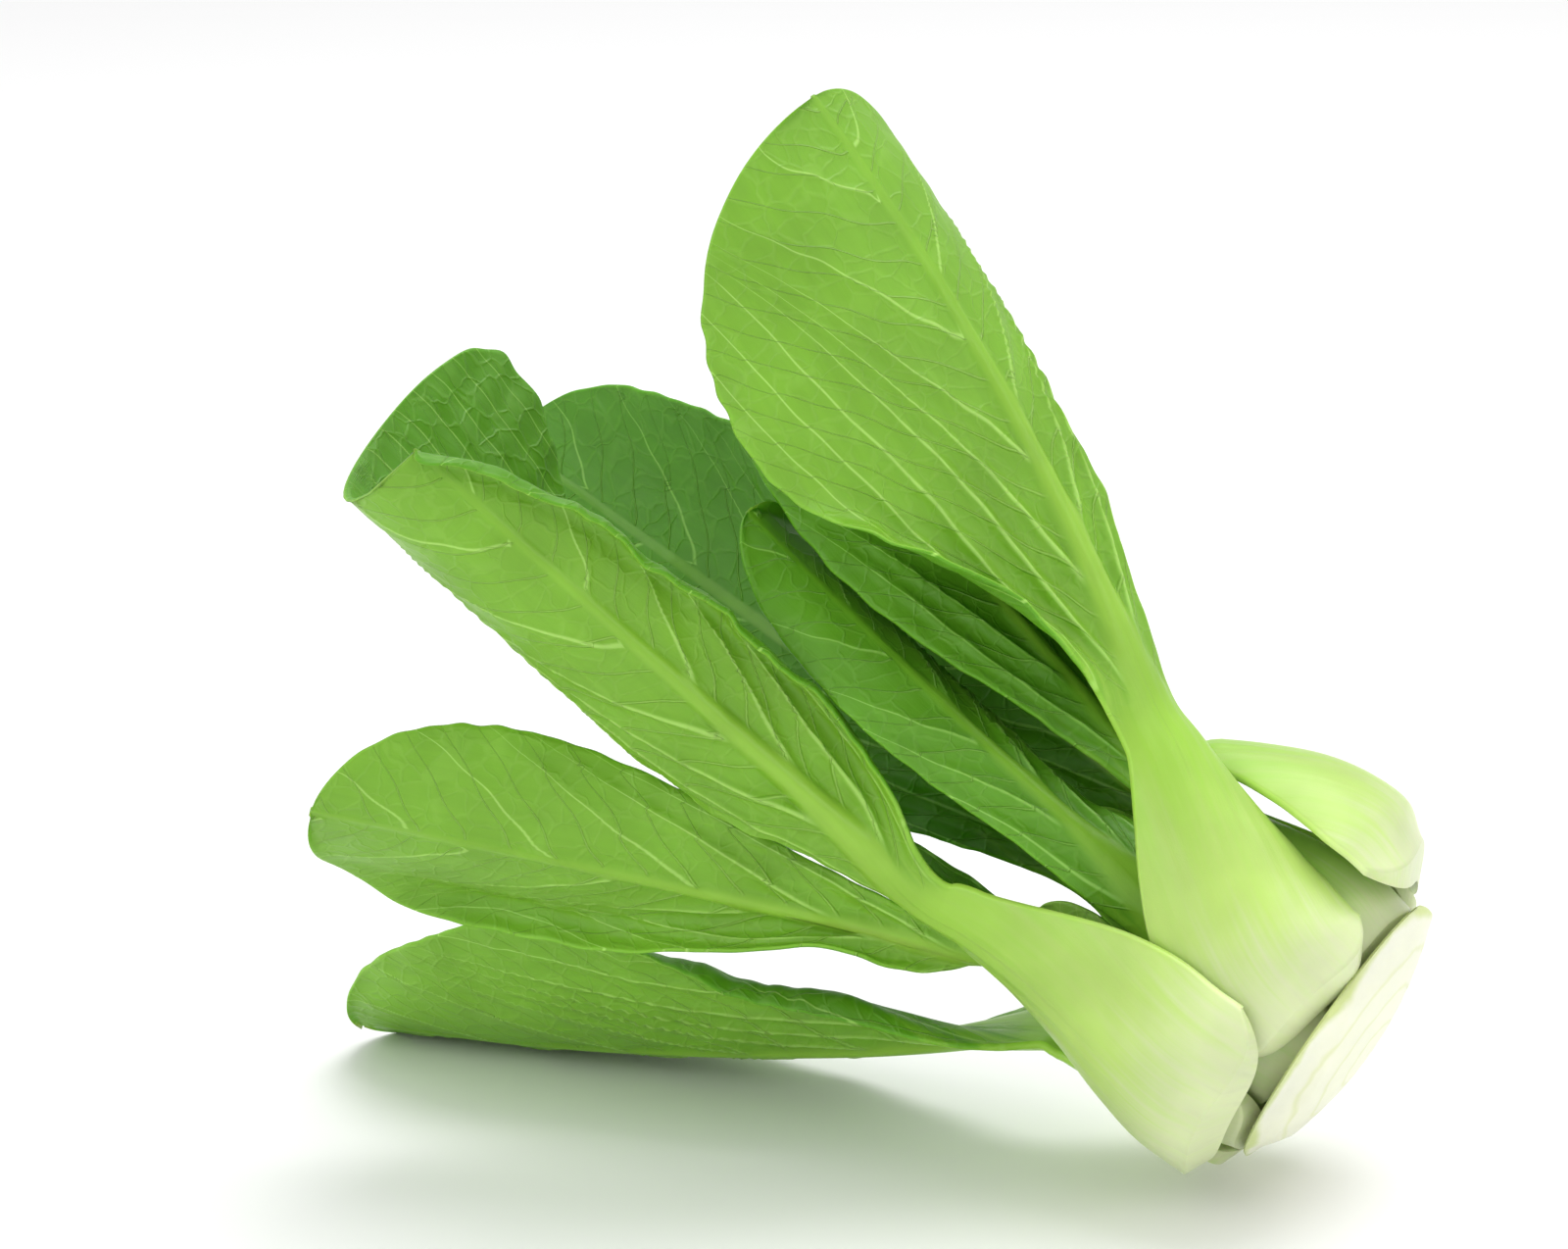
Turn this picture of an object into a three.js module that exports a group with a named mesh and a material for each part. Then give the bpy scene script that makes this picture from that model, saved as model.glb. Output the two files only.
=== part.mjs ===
// A head of bok choy, cut from its root and lying on its side.
//
// Every leaf is one closed body: a thick pale petiole that grows from the cut base, and the thin green
// blade that it carries. The leaves stand in a spiral round a short stem core, the first leaf outermost.
// The head is modelled round its own axis, with the cut base at the bottom, and is laid down at the end.
// Units are millimetres and degrees. In the laid-down part +X points to the cut base, +Z is up, and the
// origin is on the surface that the head lies on, under the middle of its box.

import * as THREE from "three";

// Clock angles say where something sits round the head's axis once the head lies down:
// 0 is the top side, 90 the near side (-Y), 180 the side on the surface, 270 the far side (+Y).

// The head as a whole
const LIE_ANGLE = 30; // the head's axis rises this far above the surface, towards the tips
const FIRST_LEAF_CLOCK = 115; // where the outermost leaf is attached
const LEAF_TURN = 137.5; // the turn from each leaf to the next one inwards

// Stem core, with the plate at its foot that the petioles grow from, and the cut base
const CORE_RADIUS = 12;
const CORE_HEIGHT = 16;
const PLATE_RADIUS = 27;
const PLATE_THICKNESS = 4; // from the plate's upper face, less its clearance, to the cut
const CORE_CROWN = 4; // rounding of the core's top
const CUT_DOME_RISE = 8; // the cut base is a low dome: its rim is this much above its middle
const CUT_DOME_RADIUS = 33; // radius at which the dome has risen by that much

// Petioles
const PETIOLE_THICKNESS = 8; // at the middle of the outermost petiole, where the bulb is widest
const PETIOLE_THINNING = 0.36; // how much thinner each petiole is than the one outside it
const PETIOLE_EDGE = 1.4; // thickness of a petiole along its edges
const PETIOLE_FULL_TO = 0.2; // share of the neck's height up to which a petiole keeps its full width
const LOBE_RISE = 7; // a petiole's rounded lower corners start this far above the cut
const PETIOLE_CLEARANCE = 0.8; // free gap between petioles that lie on each other
const PETIOLE_SLACK = 0.45; // extra step outwards from each leaf to the next
const CORE_CLEARANCE = 0.8; // free gap between the core and the innermost petiole
const PLATE_CLEARANCE = 1.8; // how far the plate stays below the cut ends of the petioles

// Blades
const LAMINA = 0.8; // thickness of the blade between its ribs
const RIB_END_WIDTH = 1.6; // width of the midrib at the tip
const RIB_TAPER = 0.3; // how early the midrib narrows: 1 is even, and less is earlier
const TIP_WIDTH = 7; // width of the blade's last edge
const TIP_FULLNESS = 2.3; // how blunt a blade's tip is: 2 is an ellipse, and more is blunter
const RIB_HEIGHT_TAPER = 1.8; // how early the midrib sinks into the blade: 1 is even, and more is earlier
// A petiole wraps the bulb, and turns into an open blade between these two distances past its neck
const OPEN_FROM = -8;
const OPEN_TO = 30;
const OUTER_SHARE = 0.7; // share of a blade's thickness on its outer side, where the rib stands out

// Mesh fineness
const PETIOLE_ROWS = 7;
const BLADE_ROWS = 11;
const COLUMN_SHARES = [0, 0.12, 0.3, 0.55, 0.8, 1]; // places across each half, from midrib to margin
const STEPS_ACROSS = 40; // steps in which a half's bend is added up
const CORE_SEGMENTS = 24;

const COLOURS = {
  outer: 0x9fc86a,
  inner: 0x7fb53c,
  heart: 0xa8cf5e,
  core: 0xe4e8c8,
};

// The two halves of a blade are on the side of larger (down) and of smaller (up) clock angles.
// width: from midrib to margin; cup: how far the half turns inwards
// focus: 1 turns evenly, and more turns close to the midrib
// widest: the share of the blade's length at which the half is widest
// flare: how late it widens, where 1 is an even S and more keeps it narrow for longer
// roll: how far the margin rolls outwards; rollWidth: the width of the rolled strip
// rollEnd: where along the blade the roll fades
const PLAIN_HALF = { focus: 1, widest: 0.62, flare: 0.9, roll: 0, rollWidth: 8, rollEnd: 1 };

function half(width, cup, shape = {}) {
  return { ...PLAIN_HALF, width, cup, ...shape };
}

// One row for each leaf, from the outermost inwards.
// base: width of the petiole round the bulb where it is widest
// neckHeight: height of the petiole's neck above the cut base, along the head's axis
// neckWidth: width of the petiole at its neck
// spread: how much further from the axis the neck is than the waist of the bulb
// drift: how far round the head the petiole moves between its base and its neck
// belly: how much further out the middle of the petiole is than the bulb's outline
// blade: length of the blade
// lean: the blade's angle to the head's axis; toward: the clock angle that it leans to
// arch: how much the lean grows from the blade's start to its tip
// twist: how far the blade is turned about its own spine
const LEAVES = [
  {
    name: "leaf_01_near_side", base: 48,
    neckHeight: 76, neckWidth: 12.5, spread: 3, drift: 5, belly: 0,
    blade: 122, lean: 29, toward: 53, arch: 4, twist: 0,
    down: half(84, 152, { focus: 3.4, widest: 0.86, flare: 1.8 }),
    up: half(19, 30, { widest: 0.3, flare: 1.2, roll: 150, rollEnd: 1.3 }),
  },
  {
    name: "leaf_02_upper_back", base: 54,
    neckHeight: 56, neckWidth: 13, spread: -2, drift: 6, belly: 5,
    blade: 110, lean: 22, toward: 340, arch: 0, twist: 0,
    down: half(26, 45),
    up: half(24, 45),
  },
  {
    name: "leaf_03_floor", base: 42,
    neckHeight: 50, neckWidth: 13, spread: 14, drift: -10, belly: 0,
    blade: 138, lean: 37, toward: 180, arch: -16, twist: 28,
    down: half(28, 50),
    up: half(42, 45, { widest: 0.62, flare: 0.5, roll: 120, rollEnd: 0.6 }),
  },
  {
    name: "leaf_04_tall", base: 36,
    neckHeight: 62, neckWidth: 14, spread: 18, drift: -42, belly: 0,
    blade: 120, lean: 30, toward: 6, arch: -18, twist: -24,
    down: half(45, 45, { focus: 1.2, roll: 120, rollWidth: 10, rollEnd: 0.6 }),
    up: half(25, 70, { focus: 1.2 }),
  },
  {
    name: "leaf_05_far_side", base: 38,
    neckHeight: 58, neckWidth: 12, spread: 0, drift: 14, belly: 0,
    blade: 90, lean: 22, toward: 300, arch: 4, twist: 0,
    down: half(13, 60),
    up: half(11, 60, { roll: 30 }),
  },
  {
    name: "leaf_06_near_floor", base: 36,
    neckHeight: 60, neckWidth: 12, spread: 5, drift: 10, belly: 0,
    blade: 126, lean: 29.5, toward: 118, arch: 2, twist: 0,
    down: half(35, 50, { widest: 0.72, flare: 2.8, roll: 130, rollWidth: 11 }),
    up: half(23, 70, { focus: 1.4, widest: 0.72, flare: 1.5 }),
  },
  {
    name: "leaf_07_upper", base: 34,
    neckHeight: 56, neckWidth: 12, spread: 0, drift: -14, belly: 0,
    blade: 112, lean: 17, toward: 5, arch: 3, twist: 0,
    down: half(23, 60),
    up: half(18, 60),
  },
  {
    name: "leaf_08_far_inner", base: 32,
    neckHeight: 60, neckWidth: 11, spread: 0, drift: 10, belly: 0,
    blade: 144, lean: 12, toward: 246, arch: -4, twist: 0,
    down: half(30, 45),
    up: half(30, 45),
  },
  {
    name: "leaf_09_near_inner", base: 30,
    neckHeight: 40, neckWidth: 13, spread: 0, drift: -30, belly: 0,
    blade: 100, lean: 10, toward: 12, arch: 4, twist: 0,
    down: half(14, 60, { focus: 1.2 }),
    up: half(24, 60, { focus: 1.2 }),
  },
  {
    name: "leaf_10_upper_inner", base: 28,
    neckHeight: 48, neckWidth: 10, spread: 0, drift: 0, belly: 0,
    blade: 96, lean: 10, toward: 250, arch: 2, twist: 0,
    down: half(24, 60),
    up: half(16, 60),
  },
  {
    name: "leaf_11_lower_inner", base: 26,
    neckHeight: 44, neckWidth: 9, spread: 0, drift: 8, belly: 0,
    blade: 86, lean: 16, toward: 150, arch: 3, twist: 0,
    down: half(14, 60),
    up: half(16, 60),
  },
  {
    name: "leaf_12_heart_upper", base: 24,
    neckHeight: 30, neckWidth: 8, spread: 0, drift: 0, belly: 0,
    blade: 32, lean: -11, toward: 40, arch: 0, twist: 0,
    down: half(10, 60),
    up: half(10, 60),
  },
  {
    name: "leaf_13_heart_far", base: 22,
    neckHeight: 32, neckWidth: 7, spread: 0, drift: 0, belly: 0,
    blade: 30, lean: -8, toward: 265, arch: -2, twist: 0,
    down: half(8, 60),
    up: half(8, 60),
  },
  {
    name: "leaf_14_heart_near", base: 20,
    neckHeight: 26, neckWidth: 6, spread: 0, drift: 0, belly: 0,
    blade: 32, lean: -3, toward: 127, arch: -2, twist: 0,
    down: half(7, 60),
    up: half(7, 60),
  },
];

const { clamp, lerp, smoothstep, degToRad } = THREE.MathUtils;

// Height of the domed cut base at a distance from the head's axis.
function cutHeight(radius) {
  return CUT_DOME_RISE * (radius / CUT_DOME_RADIUS) ** 2;
}

// The outward direction at a clock angle, in the head's own frame.
function outward(clock) {
  const angle = degToRad(-clock);
  return new THREE.Vector3(Math.cos(angle), Math.sin(angle), 0);
}

// Outline of the bulb along the head's axis: a petiole's distance from the axis as a share of the
// distance that it has where the bulb is widest.
const BULB_PROFILE = new THREE.CatmullRomCurve3(
  [
    [0, 0.85], [7, 0.96], [15, 1], [28, 0.94], [45, 0.8], [60, 0.73], [80, 0.72],
  ].map(([height, share]) => new THREE.Vector3(height, share, 0)),
  false,
  "centripetal",
);
const BULB_SAMPLES = BULB_PROFILE.getPoints(120);

function bulbShare(height) {
  const next = BULB_SAMPLES.findIndex((sample) => sample.x >= height);
  if (next <= 0) return next === 0 ? BULB_SAMPLES[0].y : BULB_SAMPLES.at(-1).y;
  const [a, b] = [BULB_SAMPLES[next - 1], BULB_SAMPLES[next]];
  return lerp(a.y, b.y, (height - a.x) / (b.x - a.x));
}

function petioleThickness(order) {
  return PETIOLE_THICKNESS - PETIOLE_THINNING * order;
}

function petioleHalfWidth(order) {
  return LEAVES[order].base / 2;
}

// Lens shape of a petiole across its width: 1 in the middle, 0 at the edges.
function lens(share) {
  return 1 - clamp(share, 0, 1) ** 2;
}

// Radii of all petioles where the bulb is widest, from the innermost outwards. Each petiole sits just
// outside those that it overlaps on its way round the spiral.
function seatPetioles() {
  const radii = [];
  for (let order = LEAVES.length - 1; order >= 0; order -= 1) {
    const own = petioleThickness(order);
    let radius = (CORE_RADIUS + CORE_CLEARANCE) / BULB_SAMPLES[0].y + own / 2;
    for (let inner = order + 1; inner < LEAVES.length; inner += 1) {
      const apart = Math.abs(((inner - order) * LEAF_TURN + 180) % 360 - 180);
      const arc = degToRad(apart) * radii[inner];
      const reach = petioleHalfWidth(order) + petioleHalfWidth(inner);
      const middle = arc / reach;
      const overlap = (own + petioleThickness(inner)) / 2 * lens(middle);
      radius = Math.max(radius, radii[inner] + overlap + PETIOLE_CLEARANCE * lens(middle));
    }
    radii[order] = radius + PETIOLE_SLACK;
  }
  return radii;
}

const PETIOLE_RADII = seatPetioles();

// The line that a leaf's middle follows, from the cut base to its tip.
function spineOf(leaf, order) {
  const clock = FIRST_LEAF_CLOCK - LEAF_TURN * order;
  const radius = PETIOLE_RADII[order];
  const points = [];
  const steps = 6;
  const start = cutHeight(radius * bulbShare(cutHeight(radius)));
  for (let step = 0; step <= steps; step += 1) {
    const share = step / steps;
    const height = lerp(start, leaf.neckHeight, share);
    const turn = leaf.drift * smoothstep(share, 0, 1);
    const bulge = leaf.spread * share ** 2 + leaf.belly * 4 * share * (1 - share);
    const reach = radius * bulbShare(height) + bulge;
    points.push(outward(clock + turn).multiplyScalar(reach).setZ(height));
  }
  const joints = 4;
  for (let joint = 0; joint < joints; joint += 1) {
    const share = (joint + 0.5) / joints;
    const lean = degToRad(leaf.lean + leaf.arch * (share - 0.5));
    const way = outward(leaf.toward).multiplyScalar(Math.sin(lean)).setZ(Math.cos(lean));
    points.push(points.at(-1).clone().addScaledVector(way, leaf.blade / joints));
  }
  return new THREE.CatmullRomCurve3(points, false, "catmullrom", 0.5);
}

// A cross-section of a leaf at a distance along its spine.
function sectionAt(leaf, order, spine, length, distance) {
  const share = clamp(distance / length, 0, 1);
  const centre = spine.getPointAt(share);
  const along = spine.getTangentAt(share);
  const neck = length - leaf.blade;
  const bladeShare = clamp((distance - neck) / leaf.blade, 0, 1);
  const petioleShare = clamp(distance / neck, 0, 1);
  const open = smoothstep(distance, neck + OPEN_FROM, neck + OPEN_TO);

  // The direction through the leaf, from its inner face to its outer face
  const fromAxis = new THREE.Vector3(centre.x, centre.y, 0).normalize();
  const facing = outward(leaf.toward);
  const through = fromAxis.lerp(facing, open).normalize();
  const upright = smoothstep(distance, 0, neck);
  const slope = 2 * CUT_DOME_RISE * Math.hypot(centre.x, centre.y) / CUT_DOME_RADIUS ** 2;
  through.addScaledVector(along, -upright * through.dot(along));
  through.z += slope * (1 - smoothstep(distance, 0, 10));
  through.normalize();
  through.applyAxisAngle(along, degToRad(leaf.twist) * open);
  const across = along.clone().cross(through).normalize();

  const base = petioleHalfWidth(order);
  const neckHalf = leaf.neckWidth / 2;
  const petioleHalf = lerp(base, neckHalf, smoothstep(petioleShare, PETIOLE_FULL_TO, 1));
  const radius = PETIOLE_RADII[order] * bulbShare(centre.z);
  return {
    centre, through, across, open, bladeShare, petioleHalf, neckHalf, radius,
    thickness: petioleThickness(order) * bulbShare(centre.z),
  };
}

// Half width of the blade at a share of its length, from the neck's own half width.
function bladeHalfWidth(half, neckHalf, share) {
  if (share < half.widest) {
    return lerp(neckHalf, half.width, smoothstep(share, -0.06, half.widest) ** half.flare);
  }
  const fall = Math.sqrt(1 - clamp((share - half.widest) / (1 - half.widest), 0, 1) ** TIP_FULLNESS);
  return Math.max(TIP_WIDTH / 2, half.width * fall);
}

// A point of one half of a section at a share of the half's width, as its distances across and inwards
// from the midrib and the turn of the surface there.
function halfPoint(section, half, share) {
  const width = section.bladeShare > 0
    ? bladeHalfWidth(half, section.neckHalf, section.bladeShare)
    : section.petioleHalf;
  const roll = degToRad(half.roll) * (1 - smoothstep(section.bladeShare, half.rollEnd - 0.3, half.rollEnd));
  const turnAt = (across) => {
    const wrapped = across / section.radius;
    const cupped = degToRad(half.cup) * (1 - (1 - clamp(across / half.width, 0, 1)) ** half.focus);
    const rolled = roll * smoothstep(across, width - half.rollWidth, width);
    return lerp(wrapped, cupped - rolled, section.open);
  };
  let x = 0;
  let y = 0;
  const step = share * width / STEPS_ACROSS;
  for (let done = 0; done < STEPS_ACROSS; done += 1) {
    const turn = turnAt((done + 0.5) * step);
    x += Math.cos(turn) * step;
    y += Math.sin(turn) * step;
  }
  return { x, y, turn: turnAt(share * width), across: share * width, width };
}

// Thickness of a leaf at a distance across from its midrib.
function thicknessAt(section, across, width) {
  const petiole = PETIOLE_EDGE + (section.thickness - PETIOLE_EDGE) * lens(across / width);
  const ribHalf = lerp(section.neckHalf, RIB_END_WIDTH / 2, section.bladeShare ** RIB_TAPER);
  const ribHeight = (section.thickness - LAMINA) * (1 - section.bladeShare) ** RIB_HEIGHT_TAPER;
  const blade = LAMINA + ribHeight * lens(across / ribHalf);
  return lerp(petiole, blade, section.open);
}

// Rows of a leaf: the outer and the inner face, each from the upper margin to the lower one.
function leafRows(leaf, order) {
  const spine = spineOf(leaf, order);
  const length = spine.getLength();
  const neck = length - leaf.blade;
  const distances = [];
  for (let row = 0; row < PETIOLE_ROWS; row += 1) distances.push(neck * row / PETIOLE_ROWS);
  for (let row = 0; row <= BLADE_ROWS; row += 1) {
    distances.push(neck + leaf.blade * Math.sin(row / BLADE_ROWS * Math.PI / 2) ** 1.1);
  }
  return distances.map((distance) => {
    const row = { outer: [], inner: [] };
    const columns = [
      ...COLUMN_SHARES.toReversed().map((share) => ({ half: leaf.up, sign: 1, share })),
      ...COLUMN_SHARES.slice(1).map((share) => ({ half: leaf.down, sign: -1, share })),
    ];
    for (const { half, sign, share } of columns) {
      const lobe = LOBE_RISE * share ** 4 * (1 - clamp(distance / neck, 0, 1)) ** 2;
      const section = sectionAt(leaf, order, spine, length, distance + lobe);
      const point = halfPoint(section, half, share);
      const thick = thicknessAt(section, point.across, point.width);
      const place = section.centre
        .clone()
        .addScaledVector(section.across, sign * point.x)
        .addScaledVector(section.through, -point.y);
      const normal = section.through
        .clone()
        .multiplyScalar(Math.cos(point.turn))
        .addScaledVector(section.across, sign * Math.sin(point.turn));
      const outerShare = lerp(0.5, OUTER_SHARE, section.open);
      row.outer.push(place.clone().addScaledVector(normal, thick * outerShare));
      row.inner.push(place.clone().addScaledVector(normal, -thick * (1 - outerShare)));
    }
    return row;
  });
}

// A closed body from rows of outer and inner points: both faces, and the edge that joins them.
function leafGeometry(leaf, order) {
  const rows = leafRows(leaf, order);
  const columns = rows[0].outer.length;
  const positions = [];
  for (const row of rows) {
    for (const point of [...row.outer, ...row.inner]) positions.push(point.x, point.y, point.z);
  }
  const outer = (row, column) => row * columns * 2 + column;
  const inner = (row, column) => row * columns * 2 + columns + column;
  const index = [];
  const quad = (a, b, c, d) => index.push(a, b, c, a, c, d);
  const last = rows.length - 1;
  for (let row = 0; row < last; row += 1) {
    for (let column = 0; column < columns - 1; column += 1) {
      quad(outer(row, column), outer(row + 1, column), outer(row + 1, column + 1), outer(row, column + 1));
      quad(inner(row, column), inner(row, column + 1), inner(row + 1, column + 1), inner(row + 1, column));
    }
    quad(outer(row, 0), inner(row, 0), inner(row + 1, 0), outer(row + 1, 0));
    const edge = columns - 1;
    quad(outer(row, edge), outer(row + 1, edge), inner(row + 1, edge), inner(row, edge));
  }
  for (let column = 0; column < columns - 1; column += 1) {
    quad(outer(0, column), outer(0, column + 1), inner(0, column + 1), inner(0, column));
    quad(outer(last, column), inner(last, column), inner(last, column + 1), outer(last, column + 1));
  }
  const geometry = new THREE.BufferGeometry();
  geometry.setAttribute("position", new THREE.Float32BufferAttribute(positions, 3));
  geometry.setIndex(index);
  geometry.computeVertexNormals();
  return geometry;
}

// The short stem that the leaves grow from: a plate with a domed cut underneath, and a rounded column.
function coreGeometry() {
  const arcSteps = 4;
  const profile = [];
  for (let step = 0; step <= arcSteps; step += 1) {
    const radius = PLATE_RADIUS * step / arcSteps;
    profile.push(new THREE.Vector2(radius, cutHeight(radius) - PLATE_THICKNESS));
  }
  for (const radius of [PLATE_RADIUS, (PLATE_RADIUS + CORE_RADIUS) / 2, CORE_RADIUS]) {
    profile.push(new THREE.Vector2(radius, cutHeight(radius) - PLATE_CLEARANCE));
  }
  for (let step = 0; step < arcSteps; step += 1) {
    const angle = step / arcSteps * Math.PI / 2;
    const radius = CORE_RADIUS - CORE_CROWN * (1 - Math.cos(angle));
    profile.push(new THREE.Vector2(radius, CORE_HEIGHT - CORE_CROWN * (1 - Math.sin(angle))));
  }
  profile.push(new THREE.Vector2(0, CORE_HEIGHT));
  return new THREE.LatheGeometry(profile, CORE_SEGMENTS);
}

function coloured(colour, roughness) {
  return new THREE.MeshStandardMaterial({ color: colour, roughness, metalness: 0 });
}

function buildHead() {
  const head = new THREE.Group();
  const core = new THREE.Mesh(coreGeometry(), coloured(COLOURS.core, 0.45));
  core.geometry.rotateX(Math.PI / 2);
  core.name = "stem_core";
  head.add(core);
  LEAVES.forEach((leaf, order) => {
    const ring = order < 6 ? "outer" : order < 11 ? "inner" : "heart";
    const mesh = new THREE.Mesh(leafGeometry(leaf, order), coloured(COLOURS[ring], 0.5));
    mesh.name = leaf.name;
    head.add(mesh);
  });
  return head;
}

// Lays the head down: its axis rises by LIE_ANGLE towards the tips, which point to -X.
function layDown(head) {
  const rise = degToRad(LIE_ANGLE);
  const axis = new THREE.Vector3(-Math.cos(rise), 0, Math.sin(rise));
  const top = new THREE.Vector3(Math.sin(rise), 0, Math.cos(rise));
  const far = new THREE.Vector3(0, 1, 0);
  head.quaternion.setFromRotationMatrix(new THREE.Matrix4().makeBasis(top, far, axis));
  head.updateMatrixWorld(true);
  const box = new THREE.Box3().setFromObject(head, true);
  head.position.set(-(box.min.x + box.max.x) / 2, -(box.min.y + box.max.y) / 2, -box.min.z);
  const part = new THREE.Group();
  part.add(head);
  return part;
}

export default layDown(buildHead());
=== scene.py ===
"""A head of bok choy, cut from its root and lying on its side.

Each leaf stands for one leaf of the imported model. It has the same spine, width, cup and roll, and adds what
the model leaves plain: raised ribs and veins, quilted tissue between them, a wavy margin and a rounded tip.
Leaf sizes are in millimetres, as on a drawing of the part, and the meshes are in metres.
"""

import logging
import math
from dataclasses import dataclass, field
from enum import Enum

import bpy
import numpy as np
from mathutils import Matrix, Vector

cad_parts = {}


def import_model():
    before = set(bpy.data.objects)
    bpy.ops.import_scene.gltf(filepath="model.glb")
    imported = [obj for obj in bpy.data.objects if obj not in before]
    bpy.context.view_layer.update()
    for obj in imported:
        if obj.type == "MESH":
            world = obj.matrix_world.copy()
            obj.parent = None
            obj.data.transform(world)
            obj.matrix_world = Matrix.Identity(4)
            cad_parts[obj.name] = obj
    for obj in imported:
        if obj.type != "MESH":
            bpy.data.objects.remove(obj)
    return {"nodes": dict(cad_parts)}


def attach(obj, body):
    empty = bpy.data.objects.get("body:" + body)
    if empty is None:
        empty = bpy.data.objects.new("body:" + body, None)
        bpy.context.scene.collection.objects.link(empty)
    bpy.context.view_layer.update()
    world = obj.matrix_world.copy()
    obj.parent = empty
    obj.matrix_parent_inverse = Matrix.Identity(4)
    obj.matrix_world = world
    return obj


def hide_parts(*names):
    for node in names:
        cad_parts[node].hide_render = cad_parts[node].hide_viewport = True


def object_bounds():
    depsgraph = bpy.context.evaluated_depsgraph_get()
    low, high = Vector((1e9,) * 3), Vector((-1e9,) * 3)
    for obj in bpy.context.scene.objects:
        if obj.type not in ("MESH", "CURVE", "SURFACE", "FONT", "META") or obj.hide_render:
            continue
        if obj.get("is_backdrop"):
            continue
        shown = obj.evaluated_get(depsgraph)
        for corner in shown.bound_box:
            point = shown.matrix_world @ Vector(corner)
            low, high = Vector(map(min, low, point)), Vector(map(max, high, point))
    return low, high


Array = np.ndarray
Socket = bpy.types.NodeSocket

METRES = 0.001  # one millimetre
BODY = "root"
BAKE_MAP = "OFBake"

# A petiole wraps the bulb, and turns into an open blade between these two distances past its neck
OPEN_FROM = -8
OPEN_TO = 30

TIP_FULLNESS = 2.3  # how blunt a blade's tip is: 2 is an ellipse, and more is blunter
TIP_HALF_WIDTH = 0.5  # half the width of the blade's last edge
RIB_HEIGHT_TAPER = 1.8  # how early the midrib sinks into the blade: 1 is even, and more is earlier
OUTER_SHARE = 0.7  # share of a blade's thickness on its outer side, where the rib stands out
FULL_BLADE = 110  # blades shorter than this have smaller veins, in proportion
BLADE_JOINTS = 4  # straight stretches that a blade's spine is laid from
BEND_STEPS = 40  # steps in which a half's bend is added up

log = logging.getLogger("bok_choy")


def smooth(value: Array, low: float, high: float) -> Array:
    """Eases from 0 at low to 1 at high."""
    share = np.clip((value - low) / (high - low), 0.0, 1.0)
    return share * share * (3.0 - 2.0 * share)


def blend(first: Array, second: Array, share: Array) -> Array:
    """Mixes two values: the first at a share of 0 and the second at 1."""
    return first + (second - first) * share


def unit(vectors: Array) -> Array:
    """Scales vectors to a length of 1."""
    return vectors / np.linalg.norm(vectors, axis=-1, keepdims=True)


def outward(clock: Array) -> Array:
    """Gives the outward direction at a clock angle in degrees, in the head's own frame."""
    angle = np.radians(-np.asarray(clock, float))
    return np.stack([np.cos(angle), np.sin(angle), np.zeros_like(angle)], -1)


def through_points(points: Array, steps: int, evenness: float) -> Array:
    """Runs a smooth curve through points.

    Args:
        points: The points to pass, one in each row.
        steps: How many steps to take between two of them.
        evenness: 0 treats all stretches alike, and 0.5 gives short ones less swing.

    Returns:
        The points along the curve.
    """
    ends = np.vstack([2 * points[0] - points[1], points, 2 * points[-1] - points[-2]])
    share = np.linspace(0, 1, steps, endpoint=False)[:, None]
    pieces = []
    for a, b, c, d in zip(ends, ends[1:], ends[2:], ends[3:]):
        before, here, after = (np.linalg.norm(q - p) ** evenness for p, q in ((a, b), (b, c), (c, d)))
        leave = ((b - a) / before - (c - a) / (before + here) + (c - b) / here) * here
        arrive = ((c - b) / here - (d - b) / (here + after) + (d - c) / after) * here
        pieces.append(
            b + leave * share
            + (3 * (c - b) - 2 * leave - arrive) * share**2
            + (2 * (b - c) + leave + arrive) * share**3
        )
    return np.vstack([*pieces, points[-1:]])


class Ripple:
    """A smooth random wave, made of a few sines of nearby lengths."""

    def __init__(self, seed: int, length: float, count: int = 4) -> None:
        """Draws the sines.

        Args:
            seed: Picks the wave; the same seed gives the same wave.
            length: The usual wave length, in millimetres.
            count: How many sines it has.
        """
        draw = np.random.default_rng(seed)
        self.turns = 2 * math.pi / (length * draw.uniform(0.7, 1.5, count))
        self.starts = draw.uniform(0, 2 * math.pi, count)
        self.weights = draw.uniform(0.5, 1.0, count)
        self.weights /= self.weights.sum()

    def at(self, distance: Array) -> Array:
        """Gives the wave, from -1 to 1, at distances in millimetres."""
        return sum(
            weight * np.sin(turn * distance + start)
            for weight, turn, start in zip(self.weights, self.turns, self.starts)
        )


@dataclass(frozen=True)
class Stance:
    """The head's own frame as it lies: its axis rises from the cut base towards the tips."""

    origin: Array
    rise: float = 30.0

    @property
    def axes(self) -> Array:
        """The head's top side, far side and axis, one in each row."""
        rise = math.radians(self.rise)
        top = (math.sin(rise), 0.0, math.cos(rise))
        axis = (-math.cos(rise), 0.0, math.sin(rise))
        return np.array([top, (0.0, 1.0, 0.0), axis])

    @classmethod
    def on_core(cls, core: bpy.types.Object, plate: float) -> "Stance":
        """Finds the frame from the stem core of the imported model.

        Args:
            core: The stem core, whose lowest point along the axis is the middle of the cut.
            plate: How far the cut is below the petioles' own zero, in millimetres.

        Returns:
            The head's frame.
        """
        axis = cls(np.zeros(3)).axes[2]
        corners = np.array([corner.co for corner in core.data.vertices])
        lowest = corners[np.argmin(corners @ axis)]
        return cls(lowest + axis * plate * METRES)

    def place(self, points: Array) -> Array:
        """Turns points of the head's frame, in millimetres, into points of the row frame, in metres."""
        return self.origin + (points @ self.axes) * METRES


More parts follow.
